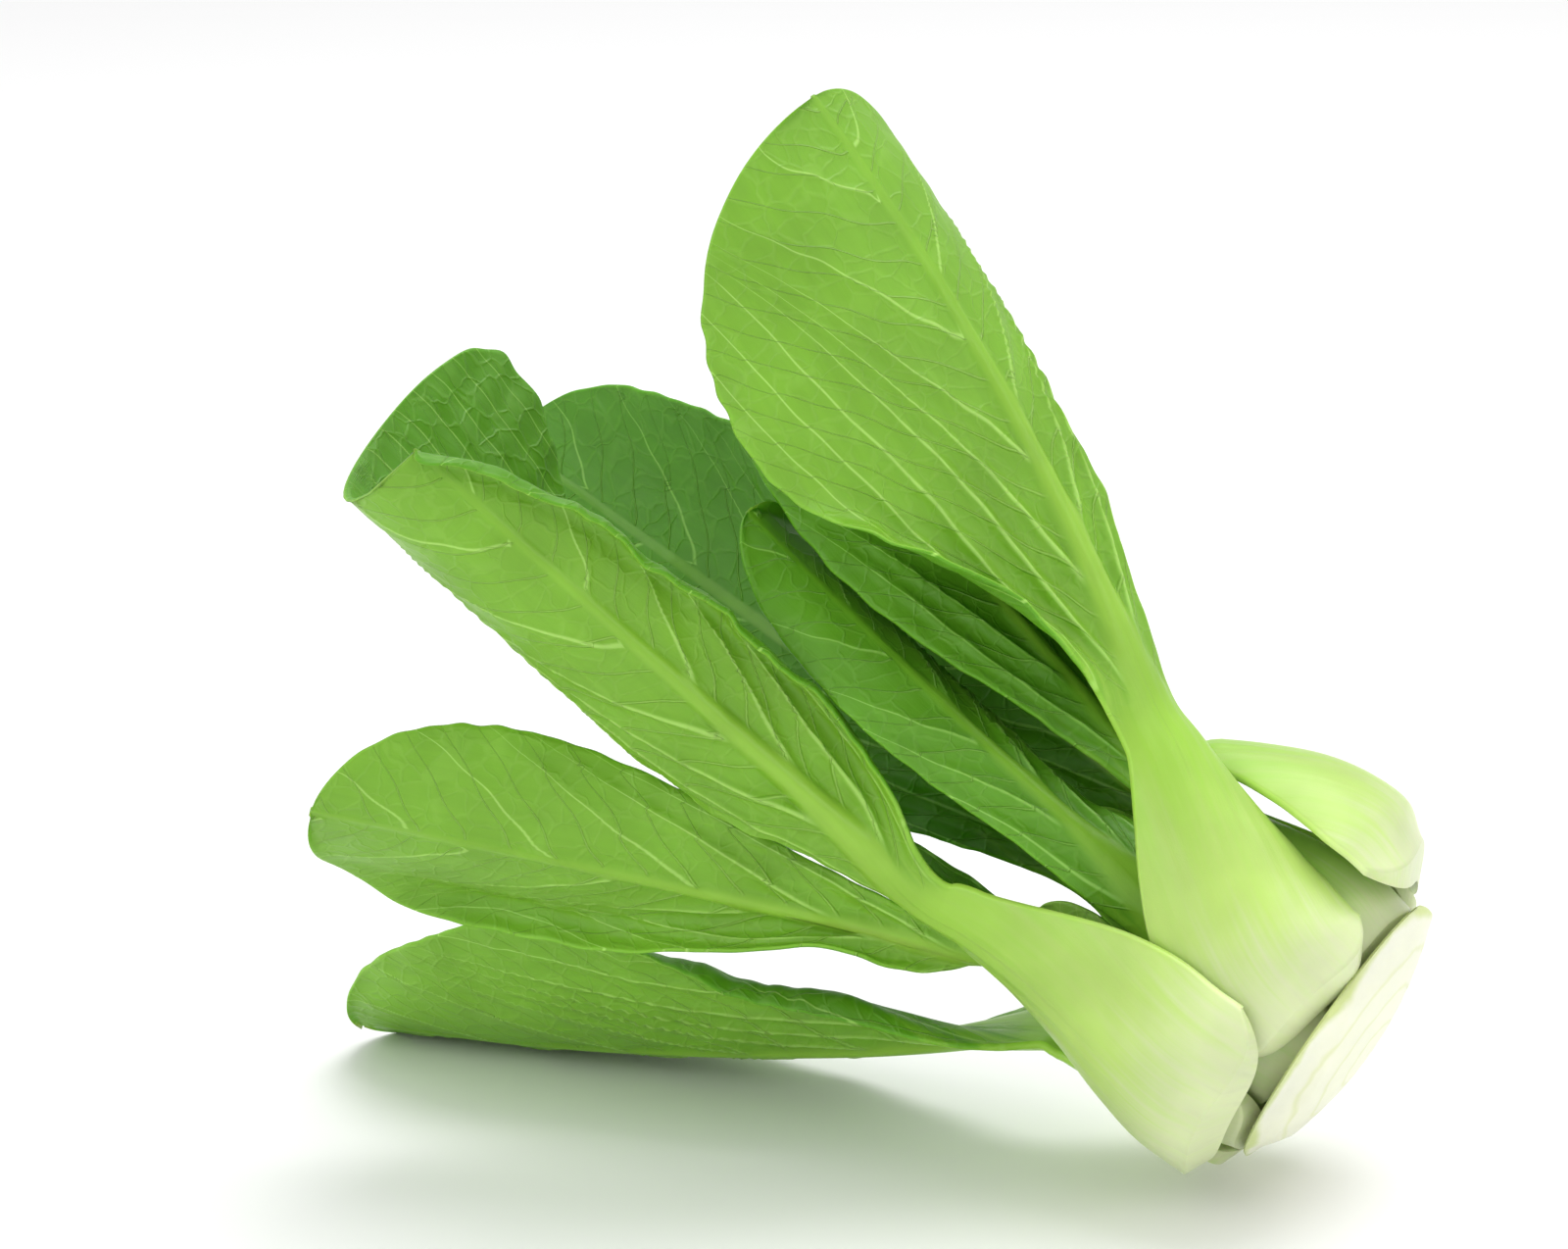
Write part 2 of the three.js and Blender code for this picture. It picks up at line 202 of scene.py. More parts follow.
@dataclass(frozen=True)
class Bulb:
    """The bulb that the petioles form round the stem core: its outline and each petiole's own size."""

    widths: tuple[float, ...]
    outline: tuple[tuple[float, float], ...] = (
        (0, 0.85), (7, 0.96), (15, 1), (28, 0.94), (45, 0.8), (60, 0.73), (80, 0.72),
    )
    first_clock: float = 115.0
    turn: float = 137.5
    core_radius: float = 12.0
    dome_rise: float = 8.0
    dome_radius: float = 33.0
    thickness: float = 8.0
    thinning: float = 0.36
    clearance: float = 0.8
    slack: float = 0.45

    def share(self, height: Array) -> Array:
        """Gives a petiole's distance from the axis, as a share of its widest, at a height."""
        curve = through_points(np.array(self.outline, float), 20, 0.5)
        return np.interp(height, curve[:, 0], curve[:, 1])

    def cut_height(self, radius: Array) -> Array:
        """Gives the height of the domed cut at a distance from the axis."""
        return self.dome_rise * (radius / self.dome_radius) ** 2

    def thickness_of(self, order: int) -> float:
        """Gives the thickness of a petiole, counted from the outside."""
        return self.thickness - self.thinning * order

    def half_width_of(self, order: int) -> float:
        """Gives half the width of a petiole, counted from the outside."""
        return self.widths[order] / 2

    def seats(self) -> list[float]:
        """Seats each petiole just outside those that it overlaps, from the innermost outwards.

        Returns:
            Each petiole's distance from the axis where the bulb is widest, from the outermost inwards.
        """
        count = len(self.widths)
        radii = [0.0] * count
        for order in reversed(range(count)):
            own = self.thickness_of(order)
            radius = (self.core_radius + self.clearance) / float(self.share(0.0)) + own / 2
            for inner in range(order + 1, count):
                apart = abs(((inner - order) * self.turn + 180) % 360 - 180)
                reach = self.half_width_of(order) + self.half_width_of(inner)
                across = min(math.radians(apart) * radii[inner] / reach, 1.0)
                bulge = 1 - across**2
                gap = (own + self.thickness_of(inner)) / 2 + self.clearance
                radius = max(radius, radii[inner] + gap * bulge)
            radii[order] = radius + self.slack
        return radii


class Ring(Enum):
    """Where a leaf stands in the head, with the name of its material slot."""

    OUTER = "outer_leaf"
    INNER = "inner_leaf"
    HEART = "heart_leaf"


@dataclass(frozen=True)
class Half:
    """One half of a blade, from its midrib to its margin.

    Attributes:
        width: From the midrib to the margin, where the blade is widest.
        cup: How far the half turns inwards, in degrees.
        focus: 1 turns it evenly, and more turns it close to the midrib.
        widest: Where along the blade the half is widest, as a share.
        flare: How late the half widens: about 1 is an even S, and more keeps it narrow for longer.
        roll: How far the margin rolls outwards, in degrees.
        roll_width: Width of the rolled strip.
        roll_end: Where along the blade the roll fades, as a share.
    """

    width: float
    cup: float
    focus: float = 1.0
    widest: float = 0.62
    flare: float = 0.9
    roll: float = 0.0
    roll_width: float = 8.0
    roll_end: float = 1.0


@dataclass(frozen=True)
class LeafForm:
    """The shape of one leaf, in millimetres and degrees.

    Attributes:
        name: The leaf's name.
        ring: Where it stands in the head.
        base: Width of the petiole round the bulb.
        neck: Height of the petiole's neck, its width, how much further out it is than the waist of the
            bulb, and how far round the head the petiole drifts on the way up to it.
        blade: Length of the blade.
        pose: The blade's lean from the axis, the clock angle that it leans to, how much the lean grows
            to the tip, and its twist about its own spine.
        down: The half on the side of larger clock angles.
        up: The half on the side of smaller clock angles.
        belly: How much further out the middle of the petiole is than the bulb's outline.
        ruffle: How far the margin waves in and out.
    """

    name: str
    ring: Ring
    base: float
    neck: tuple[float, float, float, float]
    blade: float
    pose: tuple[float, float, float, float]
    down: Half
    up: Half
    belly: float = 0.0
    ruffle: float = 1.0


LEAVES = (
    LeafForm(
        "leaf_01_near_side", Ring.OUTER, 48, (76, 12.5, 3, 5), 122, (29, 53, 4, 0),
        down=Half(84, 152, 3.4, 0.86, 1.8),
        up=Half(19, 30, 1, 0.3, 1.2, roll=150, roll_width=8, roll_end=1.3),
        ruffle=0.9,
    ),
    LeafForm(
        "leaf_02_upper_back", Ring.OUTER, 54, (56, 13, -2, 6), 110, (22, 340, 0, 0),
        down=Half(26, 45), up=Half(24, 45), belly=5,
    ),
    LeafForm(
        "leaf_03_floor", Ring.OUTER, 42, (50, 13, 14, -10), 138, (37, 180, -16, 28),
        down=Half(28, 50), up=Half(42, 45, 1, 0.62, 0.5, roll=120, roll_width=8, roll_end=0.6),
    ),
    LeafForm(
        "leaf_04_tall", Ring.OUTER, 36, (62, 14, 18, -42), 120, (30, 6, -18, -24),
        down=Half(45, 45, 1.2, roll=120, roll_width=10, roll_end=0.6), up=Half(25, 70, 1.2), ruffle=0.8,
    ),
    LeafForm(
        "leaf_05_far_side", Ring.OUTER, 38, (58, 12, 0, 14), 90, (22, 300, 4, 0),
        down=Half(13, 60), up=Half(11, 60, roll=30), ruffle=0.6,
    ),
    LeafForm(
        "leaf_06_near_floor", Ring.OUTER, 36, (60, 12, 5, 10), 126, (29.5, 118, 2, 0),
        down=Half(35, 50, 1, 0.72, 2.8, roll=130, roll_width=11), up=Half(23, 70, 1.4, 0.72, 1.5),
    ),
    LeafForm(
        "leaf_07_upper", Ring.INNER, 34, (56, 12, 0, -14), 112, (17, 5, 3, 0),
        down=Half(23, 60), up=Half(18, 60), ruffle=1.2,
    ),
    LeafForm(
        "leaf_08_far_inner", Ring.INNER, 32, (60, 11, 0, 10), 144, (12, 246, -4, 0),
        down=Half(30, 45), up=Half(30, 45),
    ),
    LeafForm(
        "leaf_09_near_inner", Ring.INNER, 30, (40, 13, 0, -30), 100, (10, 12, 4, 0),
        down=Half(14, 60, 1.2), up=Half(24, 60, 1.2), ruffle=1.2,
    ),
    LeafForm(
        "leaf_10_upper_inner", Ring.INNER, 28, (48, 10, 0, 0), 96, (10, 250, 2, 0),
        down=Half(24, 60), up=Half(16, 60), ruffle=1.2,
    ),
    LeafForm(
        "leaf_11_lower_inner", Ring.INNER, 26, (44, 9, 0, 8), 86, (16, 150, 3, 0),
        down=Half(14, 60), up=Half(16, 60), ruffle=0.6,
    ),
    LeafForm(
        "leaf_12_heart_upper", Ring.HEART, 24, (30, 8, 0, 0), 32, (-11, 40, 0, 0),
        down=Half(10, 60), up=Half(10, 60), ruffle=0.3,
    ),
    LeafForm(
        "leaf_13_heart_far", Ring.HEART, 22, (32, 7, 0, 0), 30, (-8, 265, -2, 0),
        down=Half(8, 60), up=Half(8, 60), ruffle=0.3,
    ),
    LeafForm(
        "leaf_14_heart_near", Ring.HEART, 20, (26, 6, 0, 0), 32, (-3, 127, -2, 0),
        down=Half(7, 60), up=Half(7, 60), ruffle=0.3,
    ),
)


@dataclass
class Mesher:
    """Collects the points and faces of one piece, and each face corner's place on its bake map."""

    points: list[Array] = field(default_factory=list)
    quads: list[Array] = field(default_factory=list)
    charts: list[Array] = field(default_factory=list)
    flat: list[Array] = field(default_factory=list)
    count: int = 0

    def add_points(self, points: Array) -> Array:
        """Adds points, and gives their numbers in the shape of the array without its last axis."""
        numbers = self.count + np.arange(points[..., 0].size).reshape(points.shape[:-1])
        self.points.append(points.reshape(-1, 3))
        self.count += numbers.size
        return numbers

    def add_grid(self, numbers: Array, chart: Array, flat: bool = False) -> None:
        """Adds the faces of a grid of points.

        Args:
            numbers: The points' numbers, in rows and columns. Down the rows and then along the columns
                turns left round the outward side.
            chart: Each point's place on the bake map, in the same rows and columns.
            flat: Whether the faces are shaded flat.
        """
        corners = (
            (slice(None, -1), slice(None, -1)), (slice(1, None), slice(None, -1)),
            (slice(1, None), slice(1, None)), (slice(None, -1), slice(1, None)),
        )
        quads = np.stack([numbers[corner] for corner in corners], -1).reshape(-1, 4)
        self.quads.append(quads)
        self.charts.append(np.stack([chart[corner] for corner in corners], -2).reshape(-1, 4, 2))
        self.flat.append(np.full(len(quads), flat))

    def build(self, name: str, attributes: dict[str, Array]) -> bpy.types.Object:
        """Makes the object.

        Args:
            name: The object's name.
            attributes: Values for the points by attribute name: one number or three for each point.

        Returns:
            The object, linked to the scene.
        """
        quads = np.concatenate(self.quads)
        charts = np.concatenate(self.charts)
        triangles = quads[:, 3] == quads[:, 2]
        sizes = np.where(triangles, 3, 4)
        keep = np.ones(quads.shape, bool)
        keep[triangles, 3] = False
        mesh = bpy.data.meshes.new(name)
        mesh.vertices.add(self.count)
        mesh.vertices.foreach_set("co", np.concatenate(self.points).astype(np.float32).ravel())
        mesh.loops.add(int(sizes.sum()))
        mesh.loops.foreach_set("vertex_index", quads[keep].astype(np.int32))
        mesh.polygons.add(len(quads))
        starts = np.concatenate([[0], np.cumsum(sizes)[:-1]])
        mesh.polygons.foreach_set("loop_start", starts.astype(np.int32))
        mesh.update(calc_edges=True)
        mesh.polygons.foreach_set("use_smooth", ~np.concatenate(self.flat))
        layer = mesh.uv_layers.new(name=BAKE_MAP)
        layer.data.foreach_set("uv", charts[keep].astype(np.float32).ravel())
        for key, values in attributes.items():
            vector = values.ndim == 2
            kind = "FLOAT_VECTOR" if vector else "FLOAT"
            attribute = mesh.attributes.new(key, kind, "POINT")
            attribute.data.foreach_set("vector" if vector else "value", values.astype(np.float32).ravel())
        mesh.validate()
        piece = bpy.data.objects.new(name, mesh)
        bpy.context.scene.collection.objects.link(piece)
        return piece


@dataclass
class Leaf:
    """One leaf: a thick petiole from the cut base to its neck, and the blade that it carries.

    Attributes:
        form: The leaf's shape.
        order: Its place in the spiral, counted from the outermost leaf.
        radius: Its petiole's distance from the axis where the bulb is widest.
        bulb: The bulb that its petiole belongs to.
        edge: Thickness of the petiole along its edges.
        lamina: Thickness of the blade between its ribs.
        rib_end: Width of the midrib at the tip.
        rib_taper: How early the midrib narrows: 1 is even, and less is earlier.
        lobe_rise: How far up the petiole's rounded lower corners start.
        full_to: Share of the petiole up to which it keeps its full width.
        vein_spacing: Distance between the main side veins, where they leave the midrib.
        fine_spacing: Distance between the fine side veins.
        vein_rise: How far the main side veins stand out near the neck.
        quilt: How far the tissue between the main side veins bulges.
        cell: Size of a mesh face, along and across the leaf.
    """

    form: LeafForm
    order: int
    radius: float
    bulb: Bulb
    edge: float = 1.4
    lamina: float = 0.8
    rib_end: float = 1.6
    rib_taper: float = 0.3
    lobe_rise: float = 7.0
    full_to: float = 0.2
    vein_spacing: float = 27.0
    fine_spacing: float = 8.5
    vein_rise: float = 1.4
    quilt: float = 0.9
    cell: tuple[float, float] = (0.8, 0.85)

    def __post_init__(self) -> None:
        """Lays the leaf's spine and works out the frame of its cross-sections."""
        self._lay_spine()
        self._frame_sections()

    def _lay_spine(self) -> None:
        """Lays the line that the leaf's middle follows, from the cut base to the tip."""
        neck_height, _, spread, drift = self.form.neck
        lean, toward, arch, _ = self.form.pose
        bulb = self.bulb
        clock = bulb.first_clock - bulb.turn * self.order
        start = bulb.cut_height(self.radius * bulb.share(bulb.cut_height(self.radius)))
        share = np.linspace(0, 1, 7)
        height = blend(start, neck_height, share)
        reach = (
            self.radius * bulb.share(height) + spread * share**2
            + self.form.belly * 4 * share * (1 - share)
        )
        petiole = outward(clock + drift * smooth(share, 0, 1)) * reach[:, None]
        petiole[:, 2] = height
        joints = (np.arange(BLADE_JOINTS) + 0.5) / BLADE_JOINTS
        leans = np.radians(lean + arch * (joints - 0.5))
        ways = outward(toward) * np.sin(leans)[:, None]
        ways[:, 2] = np.cos(leans)
        blade = petiole[-1] + np.cumsum(ways * self.form.blade / BLADE_JOINTS, axis=0)
        self.line = through_points(np.vstack([petiole, blade]), 60, 0.0)
        steps = np.linalg.norm(np.diff(self.line, axis=0), axis=1)
        self.distances = np.concatenate([[0], np.cumsum(steps)])
        self.length = float(self.distances[-1])
        self.neck = self.length - self.form.blade

    def _frame_sections(self) -> None:
        """Works out, all along the spine, which way the leaf runs, faces and spreads."""
        distance = self.distances
        along = unit(np.gradient(self.line, distance, axis=0))
        radial = self.line * (1.0, 1.0, 0.0)
        reach = np.linalg.norm(radial, axis=1, keepdims=True)
        self.open_at = smooth(distance, self.neck + OPEN_FROM, self.neck + OPEN_TO)
        opened = self.open_at[:, None]
        facing = outward(self.form.pose[1])
        through = unit(blend(radial / reach, facing, opened))
        upright = smooth(distance, 0, self.neck)[:, None]
        through = through - along * upright * (through * along).sum(1, keepdims=True)
        slope = 2 * self.bulb.dome_rise * reach[:, 0] / self.bulb.dome_radius**2
        through[:, 2] += slope * (1 - smooth(distance, 0, 10))
        through = unit(through)
        twist = math.radians(self.form.pose[3]) * opened
        side = np.cross(along, through)
        through = (
            through * np.cos(twist) + side * np.sin(twist)
            + along * (along * through).sum(1, keepdims=True) * (1 - np.cos(twist))
        )
        self.through = through
        self.across = unit(np.cross(along, through))
        self.reach = np.maximum(self.radius * self.bulb.share(self.line[:, 2]), 8.0)

    def _sample(self, table: Array, distance: Array) -> Array:
        """Reads a table kept along the spine at other distances."""
        if table.ndim == 1:
            return np.interp(distance, self.distances, table)
        parts = [np.interp(distance, self.distances, column) for column in table.T]
        return np.stack(parts, -1)

    def _half_width(self, half: Half, distance: Array) -> Array:
        """Gives the width of one half, from the midrib to the margin, at distances along the spine."""
        length, widest = self.form.blade, half.widest
        neck_half = self.form.neck[1] / 2
        base = self.bulb.half_width_of(self.order)
        petiole = blend(base, neck_half, smooth(distance / self.neck, self.full_to, 1.0))
        share = (distance - self.neck) / length
        opening = petiole + (half.width - neck_half) * smooth(share, -0.06, widest) ** half.flare
        past = np.clip((share - widest) / (1 - widest), 0, 1)
        fall = np.sqrt(np.clip(1 - past**TIP_FULLNESS, 0, 1))
        return np.where(share < widest, opening, np.maximum(TIP_HALF_WIDTH, half.width * fall))

    def _grid(self, half: Half, sign: float, rows: Array, shares: Array) -> dict[str, Array]:
        """Works out one half of the leaf, point by point.

        Args:
            half: The half's sizes.
            sign: 1 for the upper half and -1 for the lower one.
            rows: Distances of the rows along the spine.
            shares: Places of the columns, as shares of the half's width.

        Returns:
            The outer and inner points, and the values that the finish reads there.
        """
        length = self.form.blade
        share = np.broadcast_to(shares, (len(rows), len(shares)))
        lobe = self.lobe_rise * share**4 * (1 - np.clip(rows / self.neck, 0, 1))[:, None] ** 2
        distance = np.clip(rows[:, None] + lobe, 0, self.length)
        blade_share = np.clip((distance - self.neck) / length, 0, 1)
        opened = self._sample(self.open_at, distance)
        width = self._half_width(half, distance)
        teeth = Ripple(self.order * 11 + 3, 7.0).at(distance * (1 + 0.1 * sign))
        width = width * (1 + 0.012 * opened * teeth * smooth(share, 0.4, 1.0))
        across, sideways, inwards, turn = self._bend(half, share, distance, width, opened, blade_share)

        rib_half = blend(self.form.neck[1] / 2, self.rib_end / 2, blade_share**self.rib_taper)
        veins = self._veins(sign, distance - self.neck, across, rib_half, share)
        shape = self._relief(half, veins, share, across, blade_share, opened, rib_half, distance, sign)

        through = self._sample(self.through, distance)
        span = self._sample(self.across, distance) * sign
        normal = through * np.cos(turn)[..., None] + span * np.sin(turn)[..., None]
        middle = (
            self._sample(self.line, distance)
            + span * sideways[..., None] - through * inwards[..., None]
        )
        outer = middle + normal * shape["outer"][..., None]
        inner = middle - normal * shape["inner"][..., None]
        rim = span * np.cos(turn)[..., None] - through * np.sin(turn)[..., None]
        along_share = np.where(distance < self.neck, distance / self.neck - 1, blade_share)
        return {
            "outer": outer,
            "inner": inner,
            "rim": rim[:, -1],
            "veins": np.stack([veins["main"], veins["main_scale"], veins["fine"]], -1),
            "spread": np.stack([veins["fine_scale"], share, along_share], -1),
            "place": np.stack([across * sign, distance - self.neck, np.zeros_like(share)], -1),
            "rib": across / rib_half,
        }

    def _bend(
        self, half: Half, share: Array, distance: Array, width: Array, opened: Array, blade_share: Array,
    ) -> tuple[Array, Array, Array, Array]:
        """Bends one half of the leaf across its width, by adding up small steps from the midrib.

        Args:
            half: The half's sizes.
            share: Distances from the midrib as shares of the half's width.
            distance: Distances along the spine.
            width: The half's width at each point.
            opened: 0 where the leaf is a petiole, and 1 where it is an open blade.
            blade_share: Distances from the neck as shares of the blade's length.

        Returns:
            Each point's distance from the midrib over the surface, its distance sideways and inwards
            from the midrib in the section, and the turn of the surface there.
        """
        reach = self._sample(self.reach, distance)
        roll = math.radians(half.roll) * (1 - smooth(blade_share, half.roll_end - 0.3, half.roll_end))

        def turn_at(across: Array) -> Array:
            """Gives the turn of the surface at a distance from the midrib."""
            wrapped = across / reach
            inside = 1 - np.clip(across / half.width, 0, 1)
            cupped = math.radians(half.cup) * (1 - inside**half.focus)
            rolled = roll * smooth(across - width, -half.roll_width, 0)
            return blend(wrapped, cupped - rolled, opened)

        step = share * width / BEND_STEPS
        sideways = np.zeros_like(step)
        inwards = np.zeros_like(step)
        for done in range(BEND_STEPS):
            turn = turn_at((done + 0.5) * step)
            sideways += np.cos(turn) * step
            inwards += np.sin(turn) * step
        return share * width, sideways, inwards, turn_at(share * width)

    def _veins(
        self, sign: float, along: Array, across: Array, rib_half: Array, share: Array,
    ) -> dict[str, Array]:
        """Numbers the side veins: a value is whole on a vein, and grows by 1 from each to the next.

        Args:
            sign: 1 for the upper half and -1 for the lower one.
            along: Distances from the neck.
            across: Distances from the midrib over the surface.
            rib_half: Half the midrib's width.
            share: Distances from the midrib as shares of the half's width.

        Returns:
            The main and the fine veins' values, and how many millimetres one of each is.
        """
        length = self.form.blade
        size = min(1.0, length / FULL_BLADE)
        spacing = self.vein_spacing * size
        seed = self.order * 7 + (0 if sign > 0 else 3)
        stray = (
            Ripple(seed, 46 * size).at(along) * 2.6
            + Ripple(seed + 1, 21 * size).at(across * 1.7 + along) * 0.9
        )
        acute = np.full_like(along, 2.0)
        for _ in range(4):
            acute = blend(3.8, 1.2, smooth((along - acute * across) / length, -0.15, 0.7))
        bow = -0.4 * across * share
        shift = 0.45 * (1 - sign) / 2 * smooth(across / rib_half, 0, 1)
        fade = smooth(across / rib_half, 0.5, 2.5)
        main = (along - acute * across + bow + stray * fade) / spacing + shift
        fine_spacing = self.fine_spacing * size
        steep = blend(1.5, 0.6, smooth(along / length, 0, 0.9))
        band = np.floor(main)
        jumps = np.sin(band * 12.9898 + seed) * 0.5
        fine_stray = Ripple(seed + 2, 17).at(across + along * 0.4) * 1.1
        fine = (along - steep * across - 0.012 * across**2 + fine_stray * fade) / fine_spacing + jumps
        return {
            "main": main,
            "main_scale": spacing / np.sqrt(1 + acute**2),
            "fine": fine,
            "fine_scale": fine_spacing / np.sqrt(1 + steep**2),
        }

    def _relief(
        self, half: Half, veins: dict[str, Array], share: Array, across: Array, blade_share: Array,
        opened: Array, rib_half: Array, distance: Array, sign: float,
    ) -> dict[str, Array]:
        """Works out how far the outer and the inner face stand off the middle of the leaf.

        Args:
            half: The half's sizes.
            veins: The side veins' values at each point.
            share: Distances from the midrib as shares of the half's width.
            across: Distances from the midrib over the surface.
            blade_share: Distances from the neck as shares of the blade's length.
            opened: 0 where the leaf is a petiole, and 1 where it is an open blade.
            rib_half: Half the midrib's width.
            distance: Distances along the spine.
            sign: 1 for the upper half and -1 for the lower one.

        Returns:
            The distance of the outer and of the inner face.
        """
        height = self._sample(self.line, distance)[..., 2]
        thickness = self.bulb.thickness_of(self.order) * self.bulb.share(height)
        width = np.maximum(self._half_width(half, distance), TIP_HALF_WIDTH)
        in_petiole = self.edge + (thickness - self.edge) * (1 - np.clip(across / width, 0, 1) ** 2)
        rib = 1 - np.clip(across / rib_half, 0, 1) ** 2
        rib_height = (thickness - self.lamina) * (1 - blade_share) ** RIB_HEIGHT_TAPER
        in_blade = self.lamina + rib_height * rib
        thick = blend(in_petiole, in_blade, opened)
        outer_share = blend(0.5, OUTER_SHARE, opened)

        def ridge(value: Array, scale: Array, reach: Array) -> Array:
            """Gives 1 on a vein and 0 at a distance of reach from it."""
            off = np.abs(value - np.round(value)) * scale / reach
            return (1 - np.clip(off, 0, 1) ** 2) ** 2

        size = min(1.0, self.form.blade / FULL_BLADE)
        inner_part = 1 - 0.8 * smooth(share, 0.5, 1.0)
        low_part = 1 - smooth(blade_share, 0.0, 0.85)
        strength = opened * inner_part * (0.2 + 0.8 * low_part) * size
        main_reach = blend(1.0, 2.2, low_part) * (1 - 0.5 * share) * size
        main = ridge(veins["main"], veins["main_scale"], main_reach)
        beside = smooth(across / rib_half, 0.4, 1.3)
        fine = ridge(veins["fine"], veins["fine_scale"], 1.1) * beside
        off_main = np.abs(veins["main"] - np.round(veins["main"])) * 2
        bulge = smooth(off_main, 0.0, 0.9) * beside
        puff = self.quilt * opened * size * (1 - smooth(share, 0.75, 1.0)) * (0.35 + 0.65 * low_part)
        ribs = self.vein_rise * main * strength * beside + 0.4 * fine * strength * (1 - main)
        seed = self.order * 5 + (0 if sign > 0 else 2)
        along = distance - self.neck
        ruffle = self.form.ruffle * opened * smooth(share, 0.55, 1.0) * (
            1.3 * Ripple(seed + 20, 30).at(along) + 0.45 * Ripple(seed + 21, 9).at(along)
        )
        groove = 0.16 * (1 - opened) * Ripple(seed + 40, 3.4).at(across * sign) * smooth(distance, 6, 40)
        groove = groove * (1 - np.clip(across / width, 0, 1) ** 4)
        shift = ruffle - puff * bulge - 0.2 * puff * (1 - fine)
        return {
            "outer": thick * outer_share + ribs + shift + groove,
            "inner": thick * (1 - outer_share) - 0.35 * ribs - shift,
        }

    def build(self, stance: Stance) -> bpy.types.Object:
        """Builds the leaf's mesh.

        Args:
            stance: The head's frame.

        Returns:
            The leaf, as one closed object.
        """
        along, across = self.cell
        petiole_rows = int(self.neck / along / 1.2)
        blade_rows = int(self.form.blade / along)
        turn = np.linspace(0, 1, blade_rows + 1)
        rows = np.concatenate([
            np.linspace(0, self.neck, petiole_rows, endpoint=False),
            self.neck + self.form.blade * blend(turn, np.sin(turn * math.pi / 2) ** 1.1, 0.8),
        ])
        base = self.bulb.half_width_of(self.order)
        halves = []
        for half, sign in ((self.form.up, 1.0), (self.form.down, -1.0)):
            columns = max(8, int(max(half.width, base) / across))
            halves.append(self._grid(half, sign, rows, np.linspace(0, 1, columns + 1)))
        upper, lower = halves
        whole = {
            key: np.concatenate([upper[key][:, ::-1], lower[key][:, 1:]], axis=1)
            for key in upper if key != "rim"
        }
        return self._stitch(whole, (upper["rim"], lower["rim"]), stance)

    def _stitch(
        self, whole: dict[str, Array], rims: tuple[Array, Array], stance: Stance,
    ) -> bpy.types.Object:
        """Joins the outer and inner faces with a rounded margin and a flat cut at the foot."""
        mesher = Mesher()
        rows, columns = whole["rib"].shape
        outer = mesher.add_points(stance.place(whole["outer"]))
        inner = mesher.add_points(stance.place(whole["inner"]))
        row, column = np.meshgrid(np.linspace(0.02, 0.98, rows), np.linspace(0, 1, columns), indexing="ij")
        mesher.add_grid(outer, np.stack([0.01 + 0.46 * column, row], -1))
        mesher.add_grid(inner[:, ::-1], np.stack([0.49 + 0.46 * column, row], -1)[:, ::-1])

        up, down = (slice(None), 0), (slice(None, None, -1), -1)
        tip = (-1, slice(1, -1))
        trace = {
            key: np.concatenate([value[up], value[tip], value[down]]) for key, value in whole.items()
        }
        path_outer = np.concatenate([outer[up], outer[tip], outer[down]])
        path_inner = np.concatenate([inner[up], inner[tip], inner[down]])
        ahead = unit(self.line[-1] - self.line[-9])
        rim = np.concatenate([rims[0], np.tile(ahead, (columns - 2, 1)), rims[1][::-1]])
        gap = np.linalg.norm(trace["outer"] - trace["inner"], axis=-1, keepdims=True)
        crest = (trace["outer"] + trace["inner"]) / 2 + rim * gap * 0.4
        crest_numbers = mesher.add_points(stance.place(crest))
        reached = np.linspace(0.02, 0.98, len(crest_numbers))
        for first, second, left in ((path_outer, crest_numbers, 0.957), (crest_numbers, path_inner, 0.972)):
            chart = np.stack([np.stack([np.full_like(reached, left), reached], -1),
                              np.stack([np.full_like(reached, left + 0.012), reached], -1)], 0)
            mesher.add_grid(np.stack([first, second]), chart)

        spread = np.linspace(0.01, 0.47, columns)
        foot = np.stack([outer[0], inner[0]])
        chart = np.stack([np.stack([spread, np.full(columns, 0.002)], -1),
                          np.stack([spread, np.full(columns, 0.014)], -1)], 0)
        mesher.add_grid(foot[:, ::-1], chart[:, ::-1], flat=True)
        self._cap(mesher, (outer[0, 0], inner[0, 0], crest_numbers[0]), 0.009)
        self._cap(mesher, (inner[0, -1], outer[0, -1], crest_numbers[-1]), 0.475)

        attributes = {}
        for key in ("veins", "spread", "place"):
            flat = whole[key].reshape(-1, 3)
            attributes[f"leaf_{key}"] = np.concatenate([flat, flat, trace[key]])
        flat = whole["rib"].ravel()
        attributes["leaf_rib"] = np.concatenate([flat, flat, trace["rib"]])
        sides = attributes["leaf_place"]
        sides[: flat.size, 2] = 1.0
        sides[2 * flat.size :, 2] = 0.5
        return mesher.build(self.form.name.replace("leaf", "fine_leaf"), attributes)

    @staticmethod
    def _cap(mesher: Mesher, corners: tuple[int, int, int], left: float) -> None:
        """Closes the corner between the cut and the rounded margin with a triangle."""
        mesher.quads.append(np.array([[*corners, corners[2]]]))
        chart = np.array([[left, 0.002], [left, 0.014], [left - 0.004, 0.008], [left - 0.004, 0.008]])
        mesher.charts.append(chart[None])
        mesher.flat.append(np.array([True]))

    def dress(self, piece: bpy.types.Object, material: bpy.types.Material) -> None:
        """Gives the leaf its finish, and its place in the part."""
        piece.data.materials.append(material)
        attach(piece, BODY)
        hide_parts(self.form.name)


